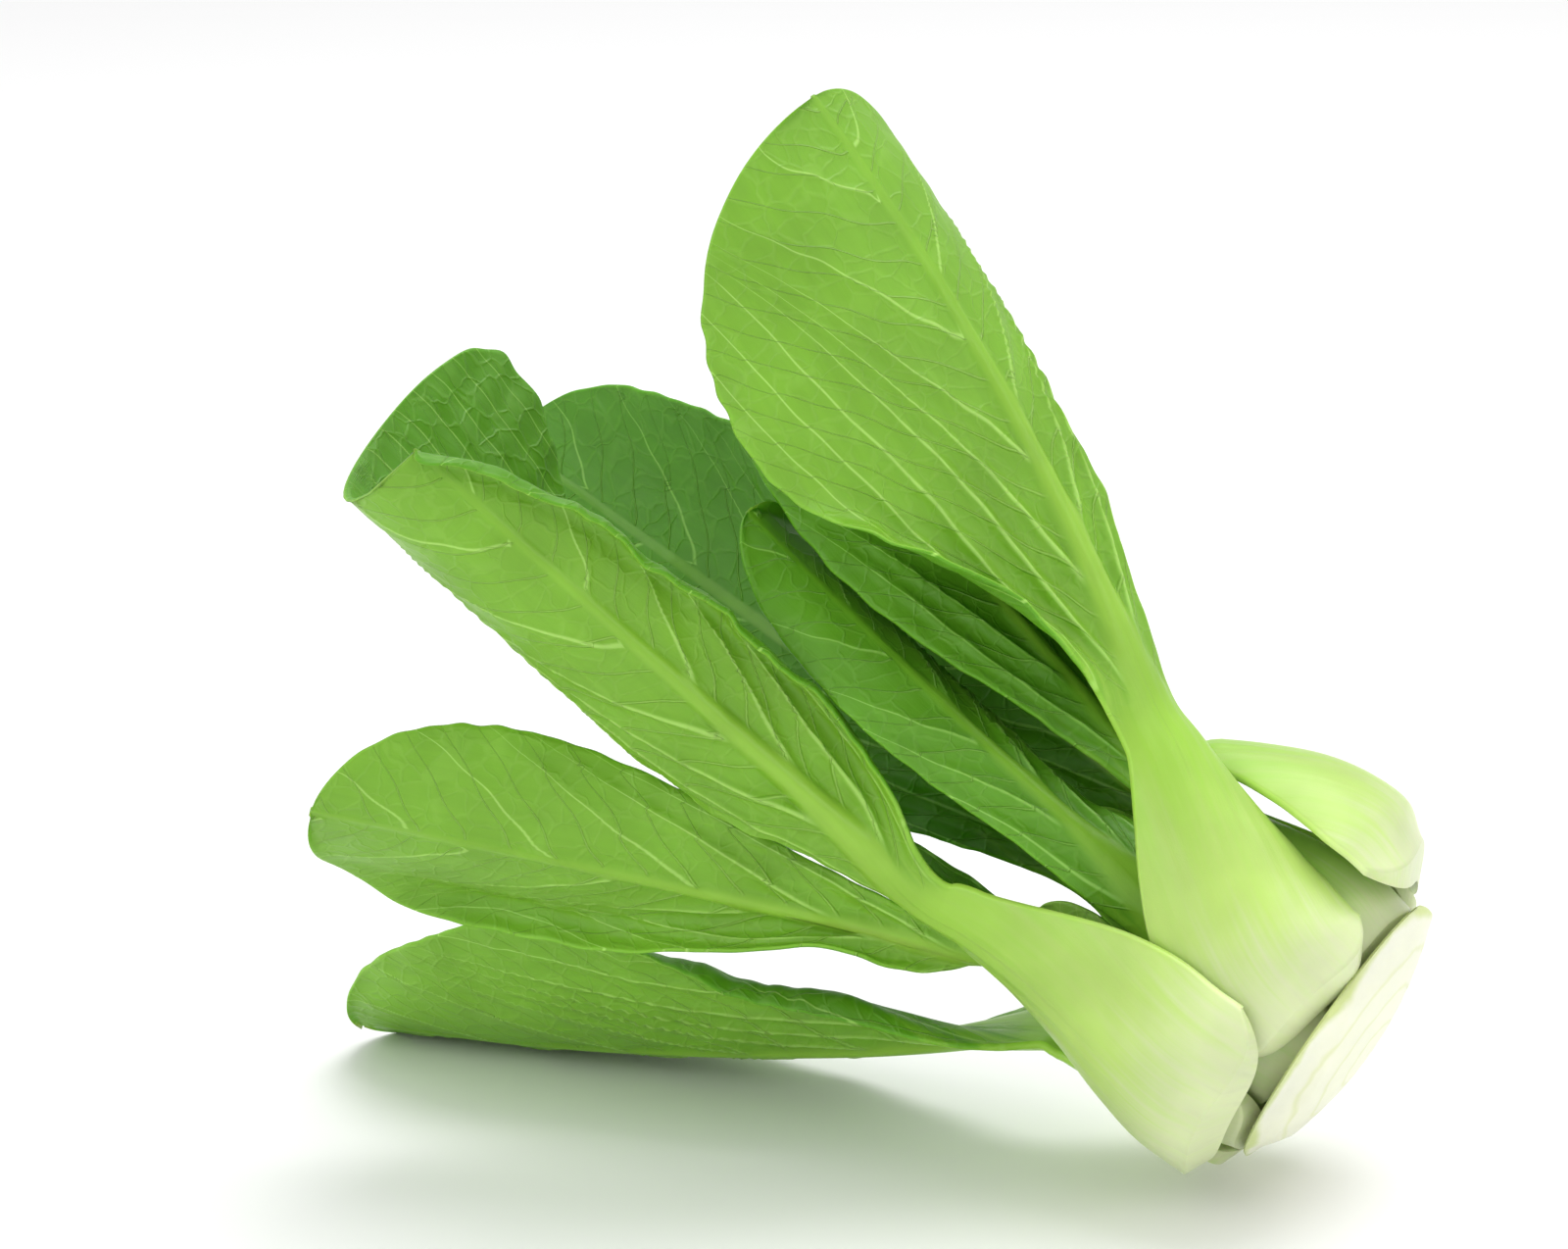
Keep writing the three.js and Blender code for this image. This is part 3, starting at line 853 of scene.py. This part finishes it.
@dataclass
class StemCore:
    """The short stem that the leaves grow from: a plate trimmed with a knife, and a rounded column.

    Attributes:
        bulb: The bulb round the core, which gives the dome of the cut.
        node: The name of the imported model's core.
        plate_radius: Radius of the plate.
        plate_thickness: From the petioles' cut ends to the cut underneath.
        plate_clearance: How far the plate stays below the petioles' cut ends.
        height: Height of the column.
        crown: Rounding of the column's top.
        facets: The knife's side cuts: the clock angle of each, how far out it starts, and its slope.
        segments: Steps round the core.
    """

    bulb: Bulb
    node: str = "stem_core"
    plate_radius: float = 27.0
    plate_thickness: float = 4.0
    plate_clearance: float = 1.8
    height: float = 16.0
    crown: float = 4.0
    facets: tuple[tuple[float, float, float], ...] = (
        (95, 19, 0.32), (20, 21, 0.4), (165, 20, 0.35), (262, 20, 0.4),
    )
    segments: int = 160

    def build(self, stance: Stance) -> bpy.types.Object:
        """Builds the core's mesh as rings of points from the middle of the cut to the column's top."""
        bulb = self.bulb
        under = np.linspace(0.02, 1, 40) * self.plate_radius
        rim = np.linspace(0, 1, 4)[1:-1]
        over = np.linspace(self.plate_radius, bulb.core_radius, 16)
        quarter = np.linspace(0, math.pi / 2, 12)
        radius = np.concatenate([
            under, np.full(len(rim), self.plate_radius + 0.25), over,
            bulb.core_radius - self.crown * (1 - np.cos(quarter)),
            np.linspace(bulb.core_radius - self.crown, 0.3, 10)[1:],
        ])
        low = bulb.cut_height(self.plate_radius) - self.plate_thickness
        high = bulb.cut_height(self.plate_radius) - self.plate_clearance
        height = np.concatenate([
            bulb.cut_height(under) - self.plate_thickness, blend(low, high, rim),
            bulb.cut_height(over) - self.plate_clearance,
            self.height - self.crown * (1 - np.sin(quarter)),
            np.full(9, self.height),
        ])
        clock = np.linspace(0, 360, self.segments + 1)
        radius, clock = np.meshgrid(radius, clock, indexing="ij")
        height = np.broadcast_to(height[:, None], radius.shape).copy()
        top = bulb.cut_height(radius) - self.plate_clearance - 0.5
        underside = np.arange(len(radius))[:, None] < len(under) + len(rim)
        for where, start, slope in self.facets:
            out = radius * np.cos(np.radians(clock - where)) - start
            pared = np.minimum(np.maximum(height, height + slope * out), np.maximum(top, height))
            height = np.where(underside, pared, height)
        ripple = Ripple(91, 9.0).at(clock * 0.3 + radius * 2) * 0.05 * underside
        points = outward(clock) * radius[..., None]
        points[..., 2] = height + ripple
        mesher = Mesher()
        numbers = mesher.add_points(stance.place(points[:, :-1]))
        ring = np.concatenate([numbers, numbers[:, :1]], axis=1)
        rows, columns = ring.shape
        row, column = np.meshgrid(
            np.linspace(0.15, 0.98, rows), np.linspace(0.02, 0.98, columns), indexing="ij",
        )
        mesher.add_grid(ring[:, ::-1], np.stack([column, row], -1)[:, ::-1])
        self._close(mesher, ring[0][::-1], stance, points[0, :-1].mean(0), 0.05)
        self._close(mesher, ring[-1], stance, points[-1, :-1].mean(0), 0.1)
        place = np.concatenate([points[:, :-1].reshape(-1, 3), points[0, :-1].mean(0)[None],
                                points[-1, :-1].mean(0)[None]])
        return mesher.build("fine_stem_core", {"core_place": place})

    @staticmethod
    def _close(mesher: Mesher, ring: Array, stance: Stance, middle: Array, low: float) -> None:
        """Closes a ring of points with a fan of triangles round its middle."""
        centre = mesher.add_points(stance.place(middle[None]))[0]
        count = len(ring) - 1
        fan = np.stack([np.full(count, centre), ring[:-1], ring[1:], ring[1:]], -1)
        left = np.linspace(0.02, 0.98, count + 1)
        chart = np.stack([
            np.stack([(left[:-1] + left[1:]) / 2, np.full(count, low + 0.03)], -1),
            np.stack([left[:-1], np.full(count, low)], -1),
            np.stack([left[1:], np.full(count, low)], -1),
            np.stack([left[1:], np.full(count, low)], -1),
        ], 1)
        mesher.quads.append(fan)
        mesher.charts.append(chart)
        mesher.flat.append(np.full(count, False))

    def dress(self, piece: bpy.types.Object, material: bpy.types.Material) -> None:
        """Gives the core its finish, and its place in the part."""
        piece.data.materials.append(material)
        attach(piece, BODY)
        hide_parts(self.node)


def paint(red: int, green: int, blue: int) -> tuple[float, float, float, float]:
    """Turns a screen colour, from 0 to 255, into the linear colour that shaders take."""
    linear = (
        part / 12.92 if part <= 0.04045 else ((part + 0.055) / 1.055) ** 2.4
        for part in (red / 255, green / 255, blue / 255)
    )
    return (*linear, 1.0)


class Wiring:
    """A node tree that is being wired, with short calls for the nodes that it uses most."""

    def __init__(self, tree: bpy.types.NodeTree) -> None:
        """Starts from a tree, and empties it."""
        self.tree = tree
        tree.nodes.clear()

    def node(
        self, kind: str, inputs: dict[str, object] | None = None, **settings: object,
    ) -> bpy.types.Node:
        """Adds a node.

        Args:
            kind: The node's type, without the word that all shader nodes start with.
            inputs: Values or sockets by the name of the input that they feed.
            settings: The node's own settings.

        Returns:
            The node.
        """
        node = self.tree.nodes.new(kind if kind.startswith("Node") else f"ShaderNode{kind}")
        for key, value in settings.items():
            setattr(node, key, value)
        for key, value in (inputs or {}).items():
            self.feed(node.inputs[key], value)
        return node

    def feed(self, socket: Socket, value: object) -> None:
        """Links a socket to an input, or sets the input to a value."""
        if isinstance(value, Socket):
            self.tree.links.new(value, socket)
        else:
            socket.default_value = value

    def math(self, operation: str, *values: object) -> Socket:
        """Adds a math node."""
        node = self.node("Math", operation=operation)
        for socket, value in zip(node.inputs, values):
            self.feed(socket, value)
        return node.outputs[0]

    def ease(
        self, value: Socket, start: object, end: object, low: float = 0.0, high: float = 1.0,
    ) -> Socket:
        """Maps a value smoothly from low at start to high at end."""
        node = self.node("MapRange", interpolation_type="SMOOTHSTEP")
        for socket, given in zip(node.inputs, (value, start, end, low, high)):
            self.feed(socket, given)
        return node.outputs[0]

    def mix(self, share: object, first: object, second: object, blend_type: str = "MIX") -> Socket:
        """Mixes two colours."""
        node = self.node("Mix", data_type="RGBA", blend_type=blend_type)
        self.feed(node.inputs[0], share)
        self.feed(node.inputs[6], first)
        self.feed(node.inputs[7], second)
        return node.outputs[2]

    def split(self, vector: Socket) -> tuple[Socket, Socket, Socket]:
        """Splits a vector into its three numbers."""
        outputs = self.node("SeparateXYZ", {"Vector": vector}).outputs
        return outputs[0], outputs[1], outputs[2]

    def join(self, x: object, y: object, z: object = 0.0) -> Socket:
        """Joins three numbers into a vector."""
        return self.node("CombineXYZ", {"X": x, "Y": y, "Z": z}).outputs[0]

    def noise(self, vector: Socket, scale: float, detail: float = 2.0) -> Socket:
        """Adds a noise texture, which runs from 0 to 1."""
        return self.node("TexNoise", {"Vector": vector, "Scale": scale, "Detail": detail}).outputs[0]

    def attribute(self, name: str) -> bpy.types.Node:
        """Reads one of the mesh's own attributes."""
        return self.node("Attribute", attribute_name=name)

    def group(self, tree: bpy.types.NodeTree, inputs: dict[str, object]) -> bpy.types.Node:
        """Places a node group."""
        node = self.node("Group", node_tree=tree)
        for key, value in inputs.items():
            self.feed(node.inputs[key], value)
        return node


def new_group(
    name: str, inputs: dict[str, str], outputs: dict[str, str],
) -> tuple[Wiring, dict, bpy.types.Node]:
    """Starts a shader node group.

    Args:
        name: The group's name.
        inputs: The kind of each input by its name: Float, Vector or Color.
        outputs: The kind of each output by its name.

    Returns:
        The group's wiring, its input sockets by name, and the node that takes its outputs.
    """
    tree = bpy.data.node_groups.new(name, "ShaderNodeTree")
    wiring = Wiring(tree)
    for direction, sockets in (("INPUT", inputs), ("OUTPUT", outputs)):
        for key, kind in sockets.items():
            tree.interface.new_socket(key, in_out=direction, socket_type=f"NodeSocket{kind}")
    given = wiring.node("NodeGroupInput")
    taken = wiring.node("NodeGroupOutput")
    return wiring, dict(given.outputs.items()), taken


def vein_group() -> bpy.types.NodeTree:
    """Builds the group that draws main veins, fine veins and the net between them."""
    wiring, given, taken = new_group(
        "vein pattern",
        {"Veins": "Vector", "Spread": "Vector", "Place": "Vector", "Rib": "Float", "Size": "Float"},
        {"Main": "Float", "Fine": "Float", "Net": "Float", "Relief": "Float"},
    )
    main, main_scale, fine = wiring.split(given["Veins"])
    fine_scale, share, along = wiring.split(given["Spread"])
    reach = wiring.math("SUBTRACT", 1.0, wiring.math("MULTIPLY", share, 0.72))
    taper = wiring.ease(along, 0.0, 0.95, 1.0, 0.42)
    opened = wiring.ease(along, -0.08, 0.12)
    beside = wiring.ease(given["Rib"], 0.7, 1.15)

    def line(value: Socket, scale: Socket, width: Socket, blur: float) -> Socket:
        """Draws a line of a given half width wherever the value is whole."""
        off = wiring.math("MULTIPLY", wiring.math("PINGPONG", value, 0.5), scale)
        return wiring.ease(off, width, wiring.math("MULTIPLY", width, blur))

    width = wiring.math("MULTIPLY", wiring.math("MULTIPLY", reach, taper), given["Size"])
    main_line = line(main, main_scale, wiring.math("MULTIPLY", width, 1.15), 0.15)
    fine_line = line(fine, fine_scale, wiring.math("MULTIPLY", width, 0.55), 0.1)
    side, up, _ = wiring.split(given["Place"])
    warp = wiring.noise(wiring.join(side, up), 0.16)
    cells = wiring.join(
        wiring.math("MULTIPLY_ADD", warp, 5.0, side), wiring.math("MULTIPLY_ADD", warp, -4.0, up),
    )
    edges = wiring.node("TexVoronoi", {"Vector": cells, "Scale": 0.21}, feature="DISTANCE_TO_EDGE")
    net = wiring.ease(edges.outputs["Distance"], 0.09, 0.0)
    main_line = wiring.math("MULTIPLY", wiring.math("MULTIPLY", main_line, opened), beside)
    fine_line = wiring.math("MULTIPLY", wiring.math("MULTIPLY", fine_line, opened), beside)
    net = wiring.math("MULTIPLY", wiring.math("MULTIPLY", net, opened), beside)
    cushion = wiring.ease(edges.outputs["Distance"], 0.0, 0.45)
    relief = wiring.math("MULTIPLY_ADD", fine_line, 0.8, wiring.math("MULTIPLY", net, 0.22))
    hollow = wiring.math("MULTIPLY", wiring.math("MULTIPLY", cushion, opened), 0.16)
    relief = wiring.math("SUBTRACT", relief, hollow)
    for name, value in (("Main", main_line), ("Fine", fine_line), ("Net", net), ("Relief", relief)):
        wiring.feed(taken.inputs[name], value)
    return wiring.tree


def tint_group() -> bpy.types.NodeTree:
    """Builds the group that colours a leaf from its pale foot to its green tip."""
    colours = ("Foot", "Stalk", "Neck", "Under", "Upper", "Vein")
    wiring, given, taken = new_group(
        "leaf tint",
        {"Spread": "Vector", "Place": "Vector", "Rib": "Float", "Main": "Float", "Fine": "Float",
         "Net": "Float", **{colour: "Color" for colour in colours}},
        {"Color": "Color", "Blade": "Float"},
    )
    _, share, along = wiring.split(given["Spread"])
    side, up, face = wiring.split(given["Place"])
    flow = wiring.join(wiring.math("MULTIPLY", side, 0.55), wiring.math("MULTIPLY", up, 0.018), face)
    streaks = wiring.noise(flow, 1.0, 3.0)
    clouds = wiring.noise(wiring.join(side, up, face), 0.045, 3.0)
    wander = wiring.math("MULTIPLY_ADD", wiring.math("SUBTRACT", streaks, 0.5), 0.5, along)

    stalk = wiring.mix(wiring.ease(wander, -1.02, -0.62), given["Foot"], given["Stalk"])
    stalk = wiring.mix(wiring.ease(wander, -0.75, -0.05), stalk, given["Neck"])
    tissue = wiring.mix(wiring.ease(face, 0.2, 0.8), given["Upper"], given["Under"])
    off_rib = wiring.ease(given["Rib"], 0.45, 1.05)
    leafy = wiring.math("MULTIPLY", wiring.ease(wander, -0.10, 0.16), off_rib)
    tipward = wiring.ease(along, 0.05, 0.8, 0.1, 0.8)
    rib = wiring.mix(tipward, given["Neck"], tissue)
    rib = wiring.mix(wiring.ease(along, -0.1, 0.05), stalk, rib)
    colour = wiring.mix(leafy, rib, tissue)

    lines = wiring.math("MAXIMUM", wiring.math("MULTIPLY", given["Main"], 0.85),
                        wiring.math("MULTIPLY", given["Fine"], 0.5))
    lines = wiring.math("MAXIMUM", lines, wiring.math("MULTIPLY", given["Net"], 0.1))
    faint = wiring.ease(face, 0.2, 0.8, 0.75, 1.0)
    colour = wiring.mix(wiring.math("MULTIPLY", lines, faint), colour, given["Vein"])
    shade = wiring.math("MULTIPLY_ADD", wiring.math("SUBTRACT", clouds, 0.5), 0.5, 1.0)
    stripe = wiring.math("MULTIPLY_ADD", wiring.math("SUBTRACT", streaks, 0.5), 0.22, shade)
    rim = wiring.ease(share, 0.982, 1.0, 1.0, 1.14)
    level = wiring.math("MULTIPLY", stripe, rim)
    colour = wiring.mix(1.0, colour, wiring.join(level, level, level), "MULTIPLY")
    wiring.feed(taken.inputs["Color"], colour)
    wiring.feed(taken.inputs["Blade"], leafy)
    return wiring.tree


def grain_group() -> bpy.types.NodeTree:
    """Builds the group for the skin's fine grain: tiny cells, and faint strings that run along it."""
    wiring, given, taken = new_group(
        "skin grain", {"Place": "Vector", "Stretch": "Float"}, {"Height": "Float", "Mask": "Float"},
    )
    side, up, face = wiring.split(given["Place"])
    drawn = wiring.join(side, wiring.math("MULTIPLY", up, given["Stretch"]), face)
    strings = wiring.noise(drawn, 1.1, 3.0)
    cells = wiring.noise(wiring.join(side, up, face), 5.5, 2.0)
    height = wiring.math("MULTIPLY_ADD", cells, 0.4, strings)
    wiring.feed(taken.inputs["Height"], height)
    wiring.feed(taken.inputs["Mask"], wiring.noise(wiring.join(side, up, face), 0.11, 3.0))
    return wiring.tree


@dataclass(frozen=True)
class LeafFinish:
    """The colours and gloss of the leaves of one ring, as screen colours.

    Attributes:
        name: The material's name.
        foot: The petiole at the cut.
        stalk: The petiole half way up.
        neck: The petiole's neck and the midrib.
        under: The blade's outer face, which was its underside.
        upper: The blade's inner face.
        vein: The veins.
        gloss: Roughness of the petiole and of the blade.
        vein_size: Width of the veins, against those of the outer leaves.
    """

    name: str
    foot: tuple[int, int, int] = (214, 224, 176)
    stalk: tuple[int, int, int] = (184, 214, 112)
    neck: tuple[int, int, int] = (150, 196, 66)
    under: tuple[int, int, int] = (120, 172, 44)
    upper: tuple[int, int, int] = (86, 146, 14)
    vein: tuple[int, int, int] = (164, 208, 100)
    gloss: tuple[float, float] = (0.34, 0.46)
    vein_size: float = 1.0

    def build(self, groups: dict[str, bpy.types.NodeTree]) -> bpy.types.Material:
        """Builds the material from the shared groups."""
        material = bpy.data.materials.new(self.name)
        material.use_nodes = True
        wiring = Wiring(material.node_tree)
        veins = wiring.attribute("leaf_veins").outputs["Vector"]
        spread = wiring.attribute("leaf_spread").outputs["Vector"]
        place = wiring.attribute("leaf_place").outputs["Vector"]
        rib = wiring.attribute("leaf_rib").outputs["Fac"]
        pattern = wiring.group(groups["veins"], {
            "Veins": veins, "Spread": spread, "Place": place, "Rib": rib, "Size": self.vein_size,
        }).outputs
        tint = wiring.group(groups["tint"], {
            "Spread": spread, "Place": place, "Rib": rib,
            "Main": pattern["Main"], "Fine": pattern["Fine"], "Net": pattern["Net"],
            "Foot": paint(*self.foot), "Stalk": paint(*self.stalk), "Neck": paint(*self.neck),
            "Under": paint(*self.under), "Upper": paint(*self.upper), "Vein": paint(*self.vein),
        }).outputs
        grain = wiring.group(groups["grain"], {"Place": place, "Stretch": 0.06}).outputs
        rough = wiring.ease(tint["Blade"], 0.0, 1.0, *self.gloss)
        rough = wiring.math("MULTIPLY_ADD", wiring.math("SUBTRACT", grain["Mask"], 0.5), 0.16, rough)
        height = wiring.math("MULTIPLY_ADD", grain["Height"], 0.16, pattern["Relief"])
        bump = wiring.node("Bump", {"Height": height, "Strength": 0.8, "Distance": 0.0005}).outputs[0]
        shader = wiring.node("BsdfPrincipled", {
            "Base Color": tint["Color"], "Roughness": rough, "Normal": bump,
            "IOR": 1.42, "Subsurface Weight": 0.22, "Subsurface Scale": 0.0022,
            "Subsurface Radius": (0.55, 1.0, 0.25),
        })
        output = wiring.node("OutputMaterial")
        wiring.feed(output.inputs["Surface"], shader.outputs[0])
        return material


@dataclass(frozen=True)
class FleshFinish:
    """The moist cream-coloured flesh of the stem, with a thin green-yellow skin round the plate."""

    name: str = "core_flesh"
    flesh: tuple[int, int, int] = (238, 240, 216)
    skin: tuple[int, int, int] = (206, 220, 150)
    ring: tuple[int, int, int] = (222, 228, 178)
    skin_radius: float = 25.6

    def build(self, groups: dict[str, bpy.types.NodeTree]) -> bpy.types.Material:
        """Builds the material from the shared groups."""
        material = bpy.data.materials.new(self.name)
        material.use_nodes = True
        wiring = Wiring(material.node_tree)
        place = wiring.attribute("core_place").outputs["Vector"]
        x, y, _ = wiring.split(place)
        radius = wiring.node("VectorMath", {0: wiring.join(x, y)}, operation="LENGTH").outputs["Value"]
        wobble = wiring.noise(place, 0.14, 2.0)
        radius = wiring.math("MULTIPLY_ADD", wiring.math("SUBTRACT", wobble, 0.5), 3.0, radius)
        skin = wiring.ease(radius, self.skin_radius, self.skin_radius + 1.4)
        rings = wiring.ease(wiring.math("PINGPONG", radius, 3.5), 0.9, 0.0, 0.0, 0.7)
        colour = wiring.mix(rings, paint(*self.flesh), paint(*self.ring))
        colour = wiring.mix(skin, colour, paint(*self.skin))
        grain = wiring.group(groups["grain"], {"Place": place, "Stretch": 1.0}).outputs
        shade = wiring.math("MULTIPLY_ADD", wiring.math("SUBTRACT", grain["Mask"], 0.5), 0.2, 1.0)
        colour = wiring.mix(1.0, colour, wiring.join(shade, shade, shade), "MULTIPLY")
        rough = wiring.math("MULTIPLY_ADD", grain["Mask"], 0.25, 0.3)
        bump = wiring.node(
            "Bump", {"Height": grain["Height"], "Strength": 0.5, "Distance": 0.0002},
        ).outputs[0]
        shader = wiring.node("BsdfPrincipled", {
            "Base Color": colour, "Roughness": rough, "Normal": bump, "IOR": 1.42,
            "Subsurface Weight": 0.3, "Subsurface Scale": 0.003, "Subsurface Radius": (1.0, 1.0, 0.6),
        })
        output = wiring.node("OutputMaterial")
        wiring.feed(output.inputs["Surface"], shader.outputs[0])
        return material


FINISHES = {
    Ring.OUTER: LeafFinish("outer_leaf"),
    # The inner ring's colours are the outer ring's made darker all through: painted shade for the leaves that
    # sit deep inside the head
    Ring.INNER: LeafFinish(
        "inner_leaf", stalk=(172, 211, 104), neck=(138, 188, 56), under=(96, 156, 30), upper=(78, 140, 12),
        vein=(146, 198, 88), vein_size=0.9,
    ),
    Ring.HEART: LeafFinish(
        "heart_leaf", stalk=(196, 222, 136), neck=(176, 212, 96), under=(150, 198, 78),
        upper=(134, 188, 60), vein=(186, 218, 120), vein_size=0.5,
    ),
}


@dataclass
class Studio:
    """The pale floor, the soft lights and the camera round the head.

    Attributes:
        azimuth: Where the camera stands round the head, in degrees.
        elevation: How far it looks down, in degrees.
        distance: From the camera to the point that it looks at, in metres.
        lens: Its focal length, in millimetres.
        aim: That point, across and up in the view from the middle of the cut base, in metres.
        sky: Strength of the white surroundings.
        floor_side: Side of the floor, in metres.
    """

    azimuth: float = 23.0
    elevation: float = 15.0
    distance: float = 1.2
    lens: float = 155.25
    aim: tuple[float, float] = (-0.10035, 0.07391)
    sky: float = 0.75
    floor_side: float = 12.0

    def view_axes(self) -> tuple[Vector, Vector, Vector]:
        """Gives the view's right, up and backward directions."""
        azimuth, elevation = math.radians(self.azimuth), math.radians(self.elevation)
        back = Vector((
            math.sin(azimuth) * math.cos(elevation),
            -math.cos(azimuth) * math.cos(elevation),
            math.sin(elevation),
        ))
        right = Vector((math.cos(azimuth), math.sin(azimuth), 0.0))
        return right, back.cross(right), back

    def set_camera(self, base: Vector) -> None:
        """Sets up the camera.

        Args:
            base: The middle of the cut base.
        """
        right, up, back = self.view_axes()
        target = base + right * self.aim[0] + up * self.aim[1]
        data = bpy.data.cameras.new("camera")
        data.lens = self.lens
        data.sensor_width = 36.0
        data.clip_end = 100.0
        camera = bpy.data.objects.new("camera", data)
        spot = target + back * self.distance
        camera.matrix_world = Matrix((
            (right.x, up.x, back.x, spot.x),
            (right.y, up.y, back.y, spot.y),
            (right.z, up.z, back.z, spot.z),
            (0.0, 0.0, 0.0, 1.0),
        ))
        bpy.context.scene.collection.objects.link(camera)
        bpy.context.scene.camera = camera

    def lay_floor(self) -> bpy.types.Object:
        """Lays the pale floor that the head lies on."""
        half = self.floor_side / 2
        mesh = bpy.data.meshes.new("floor")
        corners = [(-half, -half, 0), (half, -half, 0), (half, half, 0), (-half, half, 0)]
        mesh.from_pydata(corners, [], [(0, 1, 2, 3)])
        floor = bpy.data.objects.new("floor", mesh)
        bpy.context.scene.collection.objects.link(floor)
        material = bpy.data.materials.new("pale_floor")
        material.use_nodes = True
        wiring = Wiring(material.node_tree)
        shader = wiring.node("BsdfPrincipled", {"Base Color": (0.93, 0.93, 0.93, 1.0), "Roughness": 0.6})
        output = wiring.node("OutputMaterial")
        wiring.feed(output.inputs["Surface"], shader.outputs[0])
        mesh.materials.append(material)
        floor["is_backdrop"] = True
        return floor

    def light(self, name: str, spot: Vector, at: Vector, side: float, watts: float) -> None:
        """Hangs a large soft lamp.

        Args:
            name: The lamp's name.
            spot: Where it hangs.
            at: What it points to.
            side: Side of its square face, in metres.
            watts: Its power.
        """
        data = bpy.data.lights.new(name, "AREA")
        data.size = side
        data.energy = watts
        lamp = bpy.data.objects.new(name, data)
        lamp.location = spot
        lamp.rotation_euler = (at - spot).to_track_quat("-Z", "Y").to_euler()
        bpy.context.scene.collection.objects.link(lamp)

    def set_lights(self, at: Vector) -> None:
        """Hangs the lamps round a point, and lights the surroundings."""
        right, _, back = self.view_axes()
        level = Vector((back.x, back.y, 0.0)).normalized()
        high = Vector((0.0, 0.0, 1.0))
        self.light("lamp_top", at + high * 1.3 - level * 0.35 + right * 0.25, at, 1.1, 13.0)
        self.light("lamp_left", at + high * 0.8 + level * 1.0 - right * 1.1, at, 1.0, 6.5)
        self.light("lamp_right", at + high * 0.7 + level * 0.8 + right * 1.2, at, 0.8, 3.0)
        world = bpy.data.worlds.new("surroundings")
        world.use_nodes = True
        wiring = Wiring(world.node_tree)
        shader = wiring.node("Background", {"Color": (1.0, 1.0, 1.0, 1.0), "Strength": self.sky})
        output = wiring.node("OutputWorld")
        wiring.feed(output.inputs["Surface"], shader.outputs[0])
        bpy.context.scene.world = world
        bpy.context.scene.view_settings.view_transform = "Standard"


def main() -> None:
    """Builds the head and the studio."""
    logging.basicConfig(level=logging.INFO, format="%(name)s: %(message)s")
    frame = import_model()
    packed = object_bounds()
    bulb = Bulb(tuple(form.base for form in LEAVES))
    core = StemCore(bulb)
    stance = Stance.on_core(frame["nodes"][core.node], core.plate_thickness)
    groups = {"veins": vein_group(), "tint": tint_group(), "grain": grain_group()}
    materials = {ring: finish.build(groups) for ring, finish in FINISHES.items()}

    piece = core.build(stance)
    core.dress(piece, FleshFinish().build(groups))
    log.info("built %s with %d faces", piece.name, len(piece.data.polygons))
    for order, (form, radius) in enumerate(zip(LEAVES, bulb.seats())):
        leaf = Leaf(form, order, radius, bulb)
        piece = leaf.build(stance)
        leaf.dress(piece, materials[form.ring])
        log.info("built %s with %d faces", piece.name, len(piece.data.polygons))

    studio = Studio()
    studio.set_camera(Vector(stance.origin))
    studio.lay_floor()
    low, high = packed
    studio.set_lights((Vector(low) + Vector(high)) / 2)
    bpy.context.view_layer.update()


if __name__ == "__main__":
    main()
